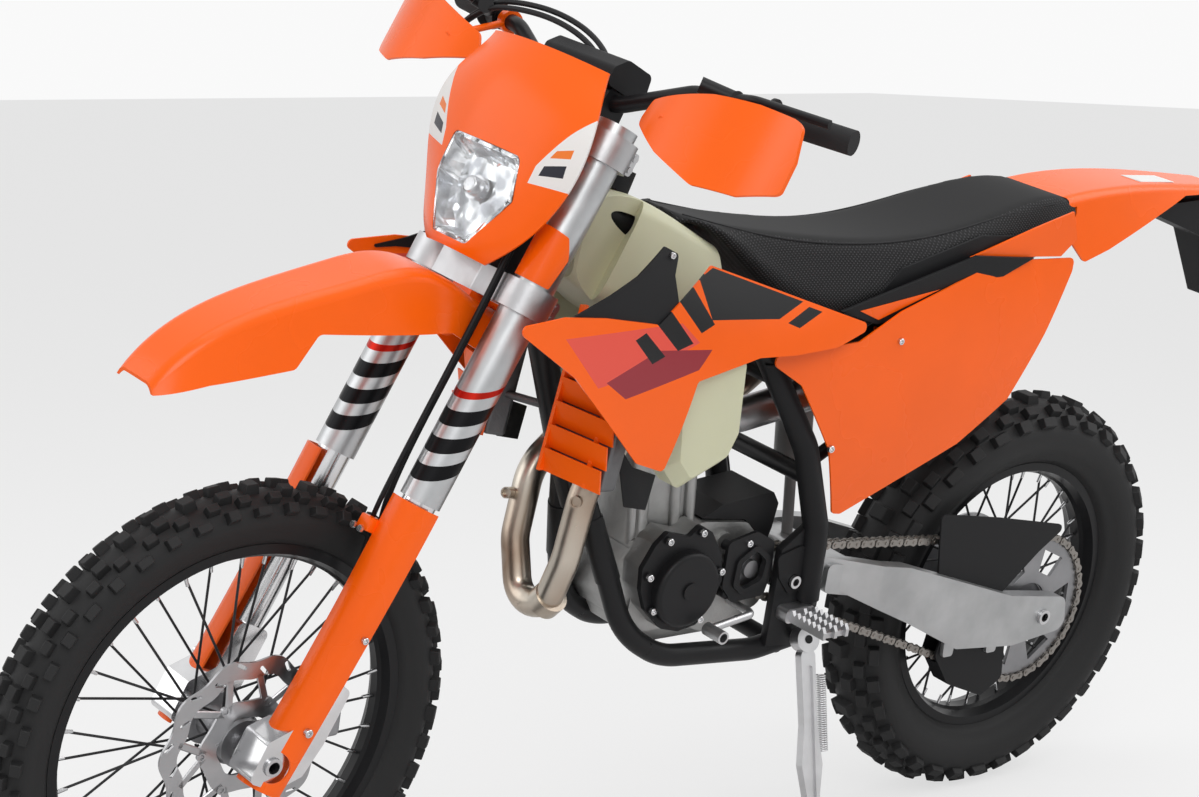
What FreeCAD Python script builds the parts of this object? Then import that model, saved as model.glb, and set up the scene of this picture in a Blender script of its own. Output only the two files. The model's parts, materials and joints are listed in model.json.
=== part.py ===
import FreeCAD, Part
import math
import os
import Sketcher

# Driving sizes in millimetres and degrees: alias, value, meaning
SIZES = (
    ("lean_angle", 11.34, "lean to the left on the side stand"),
    ("steer_rest", 2.5, "bar turned to the left at rest"),
    ("head_x", 1106, "steering axis at the lower clamp, forward of the rear axle"),
    ("head_z", 1005, "steering axis at the lower clamp, above the ground"),
    ("rake_angle", 26.1, "steering axis from the vertical"),
    ("clamp_offset", 22, "fork legs forward of the steering axis"),
    ("lug_lead", 35, "front axle forward of the fork legs"),
    ("fork_spacing", 196, "between the fork leg axes"),
    ("pivot_x", 583, "swingarm pivot forward of the rear axle"),
    ("pivot_z", 488, "swingarm pivot above the ground"),
    ("drive_x", 652, "output shaft forward of the rear axle"),
    ("drive_z", 507, "output shaft above the ground"),
    ("front_radius", 352, "front tyre over its blocks"),
    ("front_width", 90, "front tyre over its shoulder blocks"),
    ("front_rim_radius", 272, "front rim outer edge"),
    ("front_rim_width", 48, "front rim across"),
    ("rear_radius", 350, "rear tyre over its blocks"),
    ("rear_width", 136, "rear tyre over its shoulder blocks"),
    ("rear_rim_radius", 236, "rear rim outer edge"),
    ("rear_rim_width", 66, "rear rim across"),
    ("rim_depth", 24, "radial depth of both rims"),
    ("front_tread_rows", 34, "rows of tread blocks round the front tyre"),
    ("rear_tread_rows", 30, "rows of tread blocks round the rear tyre"),
    ("tyre_wall", 9, "tyre casing"),
    ("block_height", 12, "tread blocks above the casing"),
    ("front_disc_radius", 130, "front brake disc"),
    ("front_disc_offset", 56, "front disc from the centre plane"),
    ("rear_disc_radius", 110, "rear brake disc"),
    ("rear_disc_offset", 72, "rear disc from the centre plane"),
    ("disc_thickness", 4, "both brake discs"),
    ("front_axle_radius", 13, "front axle tube"),
    ("rear_axle_radius", 12.5, "rear axle tube"),
    ("front_axle_bore", 17, "bore of the front axle"),
    ("rear_axle_bore", 15, "bore of the rear axle"),
    ("sprocket_teeth", 50, "teeth of the rear sprocket"),
    ("drive_teeth", 13, "teeth of the front sprocket"),
    ("chain_pitch", 15.875, "drive chain pitch"),
    ("chain_line", 84, "chain from the centre plane"),
    ("chain_width", 18, "drive chain across its plates"),
    ("sprocket_thickness", 6, "rear sprocket"),
    ("outer_tube_radius", 29, "fork outer tube"),
    ("inner_tube_radius", 24, "fork inner tube"),
    ("fork_top", 947, "fork leg top above the axle foot"),
    ("outer_tube_foot", 392, "outer tube's lower end above the axle foot"),
    ("guard_top", 387, "fork guard's upper end above the axle foot"),
    ("lower_clamp", 690, "lower clamp centre above the axle foot"),
    ("upper_clamp", 913, "upper clamp centre above the axle foot"),
    ("clamp_height", 40, "both clamps along the legs"),
    ("bar_half_width", 400, "handlebar from the centre to an end"),
    ("bar_radius", 14, "handlebar at the clamps"),
    ("bar_rise", 40, "handlebar above the upper clamp"),
    ("grip_radius", 16.5, "rubber grips"),
    ("grip_length", 118, "rubber grips"),
    ("frame_tube", 17, "radius of the frame tubes"),
    ("stem_radius", 16.95, "steering stem"),
    ("head_tube_radius", 27, "head tube outside"),
    ("panel_wall", 3, "moulded panels"),
    ("running_gap", 0.3, "between pieces that seat on each other"),
    ("bearing_gap", 0.05, "between a turning piece and its shaft"),
    ("header_radius", 21, "exhaust header pipe"),
    ("muffler_radius", 56, "muffler can"),
    ("crank_half_width", 72, "crankcase from the centre plane"),
    ("stand_y", 136, "side stand pivot from the centre plane"),
    ("stand_x", 558, "side stand pivot forward of the rear axle"),
    ("stand_z", 398, "side stand pivot above the ground"),
)

DOC = FreeCAD.newDocument("enduro")
SHEET = DOC.addObject("Spreadsheet::Sheet", "Sizes")
for row, (alias, value, meaning) in enumerate(SIZES, 1):
    SHEET.set("A%d" % row, meaning)
    SHEET.set("B%d" % row, str(value))
    SHEET.setAlias("B%d" % row, alias)
DOC.recompute()


class Dims:
    """Reads a driving size from the sheet by its alias."""

    def __getattr__(self, alias):
        return float(SHEET.get(alias))


dim = Dims()
SUBPARTS = {}


def vec(x, y, z):
    return FreeCAD.Vector(x, y, z)


def lowest_centre(radius, width, lean):
    """Height of a tyre's centre that puts its leaned crown on the ground."""
    crown = width * 0.55
    return radius - crown + crown / math.cos(lean)


LEAN = math.radians(dim.lean_angle)
RAKE = math.radians(dim.rake_angle)
FRONT_Z = lowest_centre(dim.front_radius, dim.front_width, LEAN)
REAR_Z = lowest_centre(dim.rear_radius, dim.rear_width, LEAN)
UP_AXIS = vec(-math.sin(RAKE), 0, math.cos(RAKE))
FORE_AXIS = vec(math.cos(RAKE), 0, math.sin(RAKE))
AXLE_OFFSET = dim.clamp_offset + dim.lug_lead
HEAD = vec(dim.head_x, 0, dim.head_z)
HEAD_TRAVEL = (dim.head_z + AXLE_OFFSET * FORE_AXIS.z - FRONT_Z) / UP_AXIS.z
AXIS_FOOT = HEAD - UP_AXIS * HEAD_TRAVEL
FRONT_AXLE = AXIS_FOOT + FORE_AXIS * AXLE_OFFSET
REAR_AXLE = vec(0, 0, REAR_Z)
PIVOT = vec(dim.pivot_x, 0, dim.pivot_z)
DRIVE = vec(dim.drive_x, 0, dim.drive_z)
SPROCKET_RADIUS = dim.sprocket_teeth * dim.chain_pitch / (2 * math.pi)
DRIVE_RADIUS = dim.drive_teeth * dim.chain_pitch / (2 * math.pi)


def fork_point(along, fore, side):
    """A point of the steering group: along the axis, forward of it, to the left."""
    return AXIS_FOOT + UP_AXIS * along + FORE_AXIS * fore + vec(0, side, 0)


def keep(name, obj, group="chassis"):
    """Registers a document object as the sub-part NAME of a moving group."""
    obj.Label = name
    SUBPARTS[name] = (obj, group)
    return obj


def baked(shape):
    """The same shape with its own placement worked into its geometry."""
    if shape.Placement.isIdentity():
        return shape
    matrix = shape.Placement.toMatrix()
    still = shape.copy()
    still.Placement = FreeCAD.Placement()
    still.transformShape(matrix, True)
    return still


def feature(name, shape, group="chassis"):
    obj = DOC.addObject("Part::Feature", name)
    obj.Shape = baked(shape)
    return keep(name, obj, group)


def rounded_wire(points, radius, closed=True):
    """Straight runs between points, joined by tangent arcs of the radius given."""
    count = len(points)
    radii = [radius] * count if isinstance(radius, (int, float)) else list(radius)
    corners = []
    for i, corner in enumerate(points):
        if not closed and i in (0, count - 1):
            corners.append((corner, None, corner))
            continue
        back = points[i - 1] - corner
        ahead = points[(i + 1) % count] - corner
        half = back.getAngle(ahead) / 2
        if math.pi / 2 - half < 0.005 or radii[i] <= 0:
            corners.append((corner, None, corner))
            continue
        reach = min(radii[i] / math.tan(half), 0.47 * min(back.Length, ahead.Length))
        bend = reach * math.tan(half)
        back.normalize()
        ahead.normalize()
        inward = back + ahead
        inward.normalize()
        middle = corner + inward * (bend / math.sin(half) - bend)
        corners.append((corner + back * reach, middle, corner + ahead * reach))
    edges = []
    for i, (start, middle, end) in enumerate(corners):
        if middle is not None:
            edges.append(Part.Arc(start, middle, end).toShape())
        if closed or i < count - 1:
            nxt = corners[(i + 1) % count][0]
            if (nxt - end).Length > 0.001:
                edges.append(Part.LineSegment(end, nxt).toShape())
    return Part.Wire(edges)


def tube(points, radius, bend, bore=0):
    """A round bar or pipe along points, bent at each with one radius."""
    spine = rounded_wire(points, bend, closed=False)
    first = points[1] - points[0]
    rings = [Part.Wire(Part.makeCircle(radius, points[0], first))]
    solid = spine.makePipeShell(rings, True, False)
    if bore:
        hole = [Part.Wire(Part.makeCircle(bore, points[0], first))]
        solid = solid.cut(spine.makePipeShell(hole, True, False))
    return solid


def rod(start, end, radius, bore=0):
    """A straight round bar from start to end, with a bore when one is given."""
    run = end - start
    solid = Part.makeCylinder(radius, run.Length, start, run)
    if bore:
        solid = solid.cut(Part.makeCylinder(bore, run.Length, start, run))
    return solid


def fused(shapes):
    """One solid from pieces that overlap, with its seams cleaned up."""
    whole = shapes[0].multiFuse(shapes[1:])
    return whole.removeSplitter()


def largest(shape):
    return max(shape.Solids, key=lambda solid: solid.Volume)


def mirrored(shape):
    return shape.mirror(vec(0, 0, 0), vec(0, 1, 0))


def both_sides(shape):
    """The left piece and its right twin as two solids of one sub-part."""
    return Part.makeCompound(shape.Solids + mirrored(shape).Solids)


def side_face(outline, y, radius=0):
    """A face parallel to the centre plane from (x, z) corners."""
    points = [vec(x, y, z) for x, z in outline]
    return Part.Face(rounded_wire(points, radius))


def side_plate(outline, y_from, y_to, radius=0):
    """A plate between two distances from the centre plane."""
    return side_face(outline, y_from, radius).extrude(vec(0, y_to - y_from, 0))


def fork_plate(outline, side_from, side_to, radius=0):
    """A plate whose corners are (along, fore) of the steering axis."""
    points = [fork_point(along, fore, side_from) for along, fore in outline]
    return Part.Face(rounded_wire(points, radius)).extrude(vec(0, side_to - side_from, 0))


def ring_loft(rings, ruled=False):
    return Part.makeLoft(rings, True, ruled)


def cross_ring(x, half_top, half_low, z_low, z_top, radius):
    """A closed cross-section of the body at one x, symmetric about the centre plane."""
    corners = [vec(x, -half_low, z_low), vec(x, half_low, z_low),
               vec(x, half_top, z_top), vec(x, -half_top, z_top)]
    return rounded_wire(corners, radius)


def skin(stations, wall):
    """A bowed shell on the left: each station is (x, then z and y low, middle, top)."""
    rings = []
    for x, z_low, y_low, z_mid, y_mid, z_top, y_top in stations:
        outer = [vec(x, y_low, z_low), vec(x, y_mid, z_mid), vec(x, y_top, z_top)]
        inner = [p - vec(0, wall, 0) for p in outer]
        edges = [Part.Arc(*outer).toShape(),
                 Part.LineSegment(outer[2], inner[2]).toShape(),
                 Part.Arc(inner[2], inner[1], inner[0]).toShape(),
                 Part.LineSegment(inner[0], outer[0]).toShape()]
        rings.append(Part.Wire(edges))
    return ring_loft(rings)


def bowed_panel(outline, stations, wall, radius=6):
    """The part of a bowed shell that lies inside an (x, z) outline."""
    return skin(stations, wall).common(side_plate(outline, 0, 400, radius))


def stud_under(panel, x, y, z, radius):
    """Stud along Y that ends on the panel's inner face."""
    through = rod(vec(x, y, z), vec(x, 280, z), radius).cut(panel)
    return min(through.Solids, key=lambda solid: solid.CenterOfMass.y)


def plane_of(body, role):
    return next(f for f in body.Origin.OriginFeatures if f.Role == role)


def new_sketch(body, name, role):
    sketch = body.newObject("Sketcher::SketchObject", name)
    sketch.AttachmentSupport = (plane_of(body, role), [""])
    sketch.MapMode = "FlatFace"
    return sketch


def draw_polygon(sketch, corners):
    """Closed straight outline whose corners are pairs of sheet expressions."""
    numbers = [vec(SHEET.evalExpression(x), SHEET.evalExpression(y), 0) for x, y in corners]
    count = len(numbers)
    for i in range(count):
        sketch.addGeometry(Part.LineSegment(numbers[i], numbers[(i + 1) % count]), False)
    for i in range(count):
        sketch.addConstraint(Sketcher.Constraint("Coincident", i, 2, (i + 1) % count, 1))
    for i, (x, y) in enumerate(corners):
        across = sketch.addConstraint(
            Sketcher.Constraint("DistanceX", -1, 1, i, 1, numbers[i].x))
        sketch.setExpression("Constraints[%d]" % across, x)
        upward = sketch.addConstraint(
            Sketcher.Constraint("DistanceY", -1, 1, i, 1, numbers[i].y))
        sketch.setExpression("Constraints[%d]" % upward, y)


def draw_circle(sketch, x, y, radius):
    """A circle whose centre and radius are sheet expressions."""
    centre = vec(SHEET.evalExpression(x), SHEET.evalExpression(y), 0)
    ring = sketch.addGeometry(
        Part.Circle(centre, vec(0, 0, 1), SHEET.evalExpression(radius)), False)
    for kind, text, number in (("DistanceX", x, centre.x), ("DistanceY", y, centre.y)):
        spot = sketch.addConstraint(Sketcher.Constraint(kind, -1, 1, ring, 3, number))
        sketch.setExpression("Constraints[%d]" % spot, text)
    size = sketch.addConstraint(
        Sketcher.Constraint("Radius", ring, SHEET.evalExpression(radius)))
    sketch.setExpression("Constraints[%d]" % size, radius)


def turned_body(name, corners):
    """A body turned about its Y axis from a half profile of (radius, across)."""
    body = DOC.addObject("PartDesign::Body", name)
    sketch = new_sketch(body, name + "_profile", "XY_Plane")
    draw_polygon(sketch, corners)
    turn = body.newObject("PartDesign::Revolution", name + "_turn")
    turn.Profile = sketch
    turn.ReferenceAxis = (sketch, ["V_Axis"])
    turn.Angle = 360
    sketch.Visibility = False
    return body


def faceted_ring(profile, count):
    """Closed (radius, across) outline carried round the local Y axis as flat faces."""
    rows = []
    for i in range(count):
        angle = math.pi * (0.5 + (2 * i + 1) / count)
        rows.append([vec(r * math.cos(angle), y, r * math.sin(angle)) for r, y in profile])
    faces = []
    for i, near in enumerate(rows):
        far = rows[(i + 1) % count]
        for j in range(len(profile)):
            k = (j + 1) % len(profile)
            corners = [near[j], near[k], far[k], far[j], near[j]]
            faces.append(Part.Face(Part.makePolygon(corners)))
    return Part.makeSolid(Part.makeShell(faces))


def tread_block(turn, radius, y, tilt, width, length, height):
    """A moulded block that stands on the casing, its foot sunk into the rubber."""
    sink = 5
    solid = Part.makeBox(length, width, height + sink, vec(-length / 2, -width / 2, -sink))
    solid.rotate(vec(0, 0, 0), vec(1, 0, 0), -tilt)
    solid.translate(vec(0, y, radius))
    solid.rotate(vec(0, 0, 0), vec(0, 1, 0), turn)
    return solid


def tyre_shape(radius, width, rim_radius, rim_half, pitches):
    """Hollow casing with its tread blocks, about the local Y axis."""
    half = width / 2
    wall = dim.tyre_wall
    seat = rim_half - 4 - dim.running_gap
    bead = (rim_radius - 12) / math.cos(math.pi / pitches)
    base = radius - dim.block_height
    flank = radius - 0.3 * width
    # radius, across
    casing = [(bead, seat), (rim_radius + 2, seat), (flank, half - 5), (base, 0.24 * width),
              (base, -0.24 * width), (flank, 5 - half), (rim_radius + 2, -seat), (bead, -seat),
              (bead, wall - seat), (flank - 6, 5 + wall - half), (base - 1.3 * wall, 0),
              (flank - 6, half - wall - 5), (bead, seat - wall)]
    step = 360 / pitches
    length = 2 * math.pi * radius / pitches
    blocks = []
    for i in range(pitches):
        # shares of the width and of the pitch: a wide row follows a narrow one
        crown, shoulder = ((0.22, 0.42), (0.40, 0.56))[i % 2]
        top = lowest_centre(radius, width, LEAN) - crown / 2 * width * math.tan(LEAN)
        blocks.append(tread_block(i * step, base, 0, 0, crown * width, 0.46 * length, top - base))
        for side in (1, -1):
            blocks.append(tread_block(i * step, radius - 0.17 * width - 8, side * 0.68 * half,
                                      side * 42, 0.2 * width, shoulder * length, 11))
    return faceted_ring(casing, pitches).multiFuse(blocks)


def rim_body(name, radius, width):
    """Spoked rim: a channel with flanges that hold the tyre's beads."""
    half = "Sizes.%s / 2" % width
    edge = "Sizes.%s" % radius
    floor = "Sizes.%s - Sizes.rim_depth" % radius
    corners = [
        (edge, half), (edge + " - 14", half), (floor + " + 4", half + " * 0.5"),
        (floor, half + " * 0.3"), (floor, "-(%s) * 0.3" % half),
        (floor + " + 4", "-(%s) * 0.5" % half), (edge + " - 14", "-(%s)" % half),
        (edge, "-(%s)" % half), (edge, "-(%s) + 4" % half),
        (edge + " - 12.3", "-(%s) + 4" % half), (floor + " + 8", "-(%s) * 0.4" % half),
        (floor + " + 8", half + " * 0.4"), (edge + " - 12.3", half + " - 4"),
        (edge, half + " - 4")]
    return turned_body(name, corners)


def spoke_set(rim_radius, rim_depth, hub_radius, hub_half, count, radius):
    """Laced spokes: each leaves a hub flange on a tangent and ends under the rim."""
    spokes = []
    step = 2 * math.pi / count
    under_rim = rim_radius - rim_depth - dim.running_gap - radius * 0.2
    for i in range(count):
        side = 1 if i % 2 else -1
        lead = 1 if (i // 2) % 2 else -1
        hub_turn = (i + lead * 3.4) * step
        start = vec(hub_radius * math.cos(hub_turn), side * hub_half,
                    hub_radius * math.sin(hub_turn))
        end = vec(under_rim * math.cos(i * step), side * rim_depth * 0.1,
                  under_rim * math.sin(i * step))
        spokes.append(rod(start, end, radius))
    return Part.makeCompound(spokes)


def front_hub_body():
    corners = [
        ("Sizes.front_axle_radius + Sizes.bearing_gap", "48"),
        ("Sizes.front_axle_radius + Sizes.bearing_gap", "-48"), ("24", "-48"), ("28", "-40"),
        ("38", "-36"), ("38", "-30"), ("24", "-24"), ("21", "0"), ("24", "22"), ("38", "28"),
        ("38", "34"), ("34", "40"), ("34", "Sizes.front_disc_offset - 2 - Sizes.running_gap"),
        ("24", "Sizes.front_disc_offset - 2 - Sizes.running_gap"), ("24", "48")]
    return turned_body("front_hub", corners)


def rear_hub_body():
    corners = [
        ("Sizes.rear_axle_radius + Sizes.bearing_gap", "88"),
        ("Sizes.rear_axle_radius + Sizes.bearing_gap", "-86"), ("24", "-86"), ("28", "-76"),
        ("40", "-70"), ("40", "-50"), ("52", "-44"), ("52", "-38"), ("32", "-30"), ("28", "0"),
        ("32", "32"), ("52", "38"), ("52", "44"), ("44", "54"), ("44", "80.7"), ("28", "80.7"),
        ("26", "88")]
    return turned_body("rear_hub", corners)


def circular_cut(body, blank, shape, count, depth):
    """Cuts a sketch through the body and repeats the cut round the blank's normal."""
    pocket = body.newObject("PartDesign::Pocket", shape.Name + "_cut")
    pocket.Profile = shape
    pocket.Midplane = True
    pocket.setExpression("Length", depth)
    DOC.recompute()
    around = body.newObject("PartDesign::PolarPattern", shape.Name + "_pattern")
    around.Originals = [pocket]
    around.Axis = (blank, ["N_Axis"])
    around.Angle = 360
    around.Occurrences = count
    shape.Visibility = False
    DOC.recompute()
    return around


def disc_body(name, radius, offset, bore, waves):
    """Wave-edged brake disc with slots, on the wheel's local Y axis."""
    body = DOC.addObject("PartDesign::Body", name)
    blank = new_sketch(body, name + "_blank", "XZ_Plane")
    size = "Sizes." + radius
    draw_circle(blank, "0", "0", size)
    draw_circle(blank, "0", "0", bore)
    pad = body.newObject("PartDesign::Pad", name + "_pad")
    pad.Profile = blank
    pad.Midplane = True
    pad.setExpression("Length", "Sizes.disc_thickness")
    DOC.recompute()
    notch = new_sketch(body, name + "_notch", "XZ_Plane")
    draw_polygon(notch, [(size + " * 0.70", "-11"), (size + " * 0.86", "-3"),
                         (size + " * 0.86", "4"), (size + " * 0.70", "-4")])
    draw_circle(notch, size + " + 15", "0", "20")
    window = new_sketch(body, name + "_window", "XZ_Plane")
    draw_polygon(window, [(size + " * 0.40", "-9"), (size + " * 0.62", "-20"),
                          (size + " * 0.64", "15"), (size + " * 0.40", "10")])
    for shape, count in ((notch, waves), (window, 6)):
        last = circular_cut(body, blank, shape, count, "Sizes.disc_thickness * 4")
    body.Tip = last
    blank.Visibility = False
    return body


def sprocket_body():
    """Rear sprocket; its teeth stand inside the chain's rollers."""
    body = DOC.addObject("PartDesign::Body", "rear_sprocket")
    blank = new_sketch(body, "sprocket_blank", "XZ_Plane")
    pitch_radius = "Sizes.sprocket_teeth * Sizes.chain_pitch / (2 * pi)"
    draw_circle(blank, "0", "0", pitch_radius + " - 6")
    draw_circle(blank, "0", "0", "44")
    pad = body.newObject("PartDesign::Pad", "sprocket_pad")
    pad.Profile = blank
    pad.Midplane = True
    pad.setExpression("Length", "Sizes.sprocket_thickness")
    DOC.recompute()
    gullet = new_sketch(body, "sprocket_gullet", "XZ_Plane")
    draw_polygon(gullet, [(pitch_radius + " - 5", "-5"), (pitch_radius + " - 12", "-2"),
                          (pitch_radius + " - 12", "2"), (pitch_radius + " - 5", "5")])
    window = new_sketch(body, "sprocket_window", "XZ_Plane")
    draw_polygon(window, [("62", "-17"), ("98", "-32"), ("104", "20"), ("66", "16")])
    for shape, count in ((gullet, int(dim.sprocket_teeth)), (window, 6)):
        last = circular_cut(body, blank, shape, count, "Sizes.sprocket_thickness * 3")
    body.Tip = last
    blank.Visibility = False
    return body


def pierced_bar(name, radius, bore, length, y_middle):
    """A tube along Y from a cylinder and its bore, both bound to the sheet."""
    cut = DOC.addObject("Part::Cut", name)
    solids = []
    for kind, text in (("bar", radius), ("bore", bore)):
        solid = DOC.addObject("Part::Cylinder", "%s_%s" % (name, kind))
        solid.setExpression("Radius", text)
        solid.Height = length if kind == "bar" else length + 20
        start = y_middle + solid.Height.Value / 2
        solid.Placement = FreeCAD.Placement(
            vec(0, start, 0), FreeCAD.Rotation(vec(1, 0, 0), 90))
        solids.append(solid)
    cut.Base, cut.Tool = solids
    return cut


def build_wheels():
    front_half = dim.front_rim_width / 2
    rear_half = dim.rear_rim_width / 2
    feature("front_tyre", tyre_shape(dim.front_radius, dim.front_width,
                                     dim.front_rim_radius, front_half,
                                     int(dim.front_tread_rows)), "front_wheel")
    keep("front_rim", rim_body("front_rim", "front_rim_radius", "front_rim_width"),
         "front_wheel")
    feature("front_spokes", spoke_set(dim.front_rim_radius, dim.rim_depth, 40, 31, 36, 1.8),
            "front_wheel")
    keep("front_hub", front_hub_body(), "front_wheel")
    front_disc = disc_body("front_disc", "front_disc_radius", "front_disc_offset", "26", 10)
    keep("front_disc", front_disc, "front_wheel")
    feature("rear_tyre", tyre_shape(dim.rear_radius, dim.rear_width,
                                    dim.rear_rim_radius, rear_half,
                                    int(dim.rear_tread_rows)), "rear_wheel")
    keep("rear_rim", rim_body("rear_rim", "rear_rim_radius", "rear_rim_width"), "rear_wheel")
    feature("rear_spokes", spoke_set(dim.rear_rim_radius, dim.rim_depth, 54.3, 41, 36, 2),
            "rear_wheel")
    keep("rear_hub", rear_hub_body(), "rear_wheel")
    keep("rear_disc", disc_body("rear_disc", "rear_disc_radius", "rear_disc_offset", "41", 10),
         "rear_wheel")
    keep("rear_sprocket", sprocket_body(), "rear_wheel")
    keep("front_axle", pierced_bar("front_axle", "Sizes.front_axle_radius",
                                   "Sizes.front_axle_bore / 2", 256, 0), "front_axle")
    keep("rear_axle", pierced_bar("rear_axle", "Sizes.rear_axle_radius",
                                  "Sizes.rear_axle_bore / 2", 264, 0), "rear_axle")


def build_fork():
    side = dim.fork_spacing / 2
    lead = dim.clamp_offset
    outer = []
    inner = []
    guards = []
    for y in (side, -side):
        top = fork_point(dim.fork_top, lead, y)
        foot = fork_point(dim.outer_tube_foot, lead, y)
        outer.append(rod(foot, top, dim.outer_tube_radius))
        tube_foot = fork_point(40, lead, y)
        lug = fork_plate([(-30, lead + 12), (-30, AXLE_OFFSET + 24), (28, AXLE_OFFSET + 26),
                          (60, lead + 28), (130, lead + 27), (130, lead - 27),
                          (50, lead - 27), (0, lead - 20)], y - 26, y + 26, 10)
        eye = Part.makeCylinder(dim.front_axle_radius + dim.running_gap, 80,
                                FRONT_AXLE + vec(0, y - 40, 0), vec(0, 1, 0))
        leg = rod(tube_foot, foot - UP_AXIS * dim.running_gap, dim.inner_tube_radius)
        inner.append(leg.fuse(lug).removeSplitter().cut(eye))
        guards.append(fork_guard(y).cut(leg.fuse(lug)))
    feature("fork_outer_tubes", Part.makeCompound(outer), "steering")
    feature("fork_lowers", Part.makeCompound(inner), "steering")
    feature("fork_guards", Part.makeCompound(guards), "steering")


def fork_guard(y):
    """Moulded guard: a half shell ahead of the leg that narrows over the axle lug."""
    lead = dim.clamp_offset
    outward = 1 if y > 0 else -1
    rings = []
    # along the leg, radius, forward shift
    for along, radius, shift in ((-36, 34, 16), (60, 36, 8), (200, 39, 0), (dim.guard_top, 39, 0)):
        centre = fork_point(along, lead + shift, y)
        rings.append(Part.Wire(Part.makeCircle(radius, centre, UP_AXIS)))
    shell = ring_loft(rings)
    hollow = []
    for along, radius, shift in ((-40, 31, 16), (60, 33, 8), (200, 36, 0),
                                 (dim.guard_top + 4, 36, 0)):
        centre = fork_point(along, lead + shift, y)
        hollow.append(Part.Wire(Part.makeCircle(radius, centre, UP_AXIS)))
    shell = shell.cut(ring_loft(hollow))
    back = fork_plate([(-60, lead - 90), (-60, lead + 6), (450, lead - 8), (450, lead - 90)],
                      y - 60, y + 60)
    inner_side = fork_plate([(-60, lead - 90), (-60, lead + 90), (450, lead + 90),
                             (450, lead - 90)], y - outward * 14, y - outward * 60)
    eye = Part.makeCylinder(22, 160, FRONT_AXLE + vec(0, y - 80, 0), vec(0, 1, 0))
    return shell.cut(back).cut(inner_side).cut(eye)


def build_clamps():
    side = dim.fork_spacing / 2
    half = dim.clamp_height / 2
    collar = dim.outer_tube_radius + dim.running_gap
    lead = dim.clamp_offset
    pieces = []
    for middle, depth in ((dim.lower_clamp, 30), (dim.upper_clamp, 26)):
        low = middle - half
        # fore, side
        web = ((lead - depth, side), (lead + depth, side), (30, 0), (lead + depth, -side),
               (lead - depth, -side), (-24, 0))
        outline = rounded_wire([fork_point(low, fore, y) for fore, y in web], 8)
        plate = Part.Face(outline).extrude(UP_AXIS * dim.clamp_height)
        for y in (side, -side):
            ring = Part.makeCylinder(collar + 8, dim.clamp_height, fork_point(low, lead, y),
                                     UP_AXIS)
            plate = plate.fuse(ring).fuse(pinch_lug(middle, lead - collar - 8, y))
        for y in (side, -side):
            start = fork_point(low - 5, lead, y)
            plate = plate.cut(Part.makeCylinder(collar, dim.clamp_height + 10, start, UP_AXIS))
            slit = [(low - 5, lead - collar + 5), (low + 50, lead - collar + 5),
                    (low + 50, lead - collar - 12), (low - 5, lead - collar - 12)]
            plate = plate.cut(fork_plate(slit, y - 1, y + 1))
        pieces.append(plate)
    top = dim.upper_clamp + half
    stem = rod(fork_point(dim.lower_clamp - half, 0, 0), fork_point(top, 0, 0), dim.stem_radius)
    nut = rod(fork_point(top - 2, 0, 0), fork_point(top + 9, 0, 0), dim.stem_radius + 4)
    feature("triple_clamps", fused([pieces[0], pieces[1], stem, nut]), "steering")


def pinch_lug(middle, fore, y):
    """The lug behind a collar, with the two bolts that close its slit."""
    block = fork_plate([(middle - 16, fore + 6), (middle + 16, fore + 6),
                        (middle + 16, fore - 13), (middle - 16, fore - 13)], y - 11, y + 11, 4)
    for along in (middle - 8, middle + 8):
        block = block.fuse(rod(fork_point(along, fore - 5, y - 16),
                               fork_point(along, fore - 5, y + 16), 4.5))
    return block


def build_bars():
    top = dim.upper_clamp + dim.clamp_height / 2
    radius = dim.bar_radius
    rise = dim.bar_rise
    # side, above the upper clamp, fore
    route = ((0, rise, 14), (70, rise, 14), (185, rise + 54, 8), (dim.bar_half_width, 117, -60))
    left = [fork_point(top + along, fore, y) for y, along, fore in route]
    right = [fork_point(top + along, fore, -y) for y, along, fore in reversed(route[1:])]
    bar = tube(right + left, radius * 0.8, 60)
    middle = rod(fork_point(top + rise, 14, -62), fork_point(top + rise, 14, 62), radius)
    seat = top + dim.running_gap
    cap = top + rise + radius + 2
    clamps = []
    for y in (50, -50):
        block = fork_plate([(seat, -10), (seat, 38), (cap, 34), (cap, -6)], y - 15, y + 15, 5)
        clamps.append(block)
    feature("handlebar", fused([bar, middle] + clamps), "steering")
    end = left[-1]
    run = end - left[-2]
    run.normalize()
    core = radius * 0.8 + dim.running_gap
    grip = rod(end - run * (dim.grip_length - 4), end + run * 3, dim.grip_radius)
    grip = grip.fuse(rod(end - run * dim.grip_length, end - run * (dim.grip_length - 5), 24))
    grip = grip.cut(rod(end - run * (dim.grip_length + 20), end, core))
    feature("grips", both_sides(grip), "steering")
    feature("hand_levers", both_sides(lever_set(end, run)), "steering")
    foot = cap + dim.running_gap
    pad = fork_plate([(foot, -26), (foot, 50), (foot + 24, 52), (foot + 42, 34),
                      (foot + 42, -16)], -72, 72, 9)
    feature("bar_pad", pad, "steering")
    feature("hand_guards", both_sides(hand_guard(end, run)), "steering")


def lever_set(end, run):
    """Perch with its reservoir, and the lever ahead of the grip."""
    perch_start = end - run * (dim.grip_length + 42)
    perch_end = end - run * (dim.grip_length + 12)
    core = dim.bar_radius * 0.8 + dim.running_gap
    perch = rod(perch_start, perch_end, 17, core)
    fore = vec(FORE_AXIS.x, 0, FORE_AXIS.z)
    base = (perch_start + perch_end) * 0.5
    body = rod(base + fore * 25, base + fore * 52 - run * 42, 11)
    blade = tube([base + fore * 44 + run * 8, base + fore * 62 + run * 46,
                  base + fore * 58 + run * 150], 6, 30)
    link = rod(base + fore * 24, base + fore * 50 + run * 12, 8)
    return fused([perch, body, link, blade])


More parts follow.
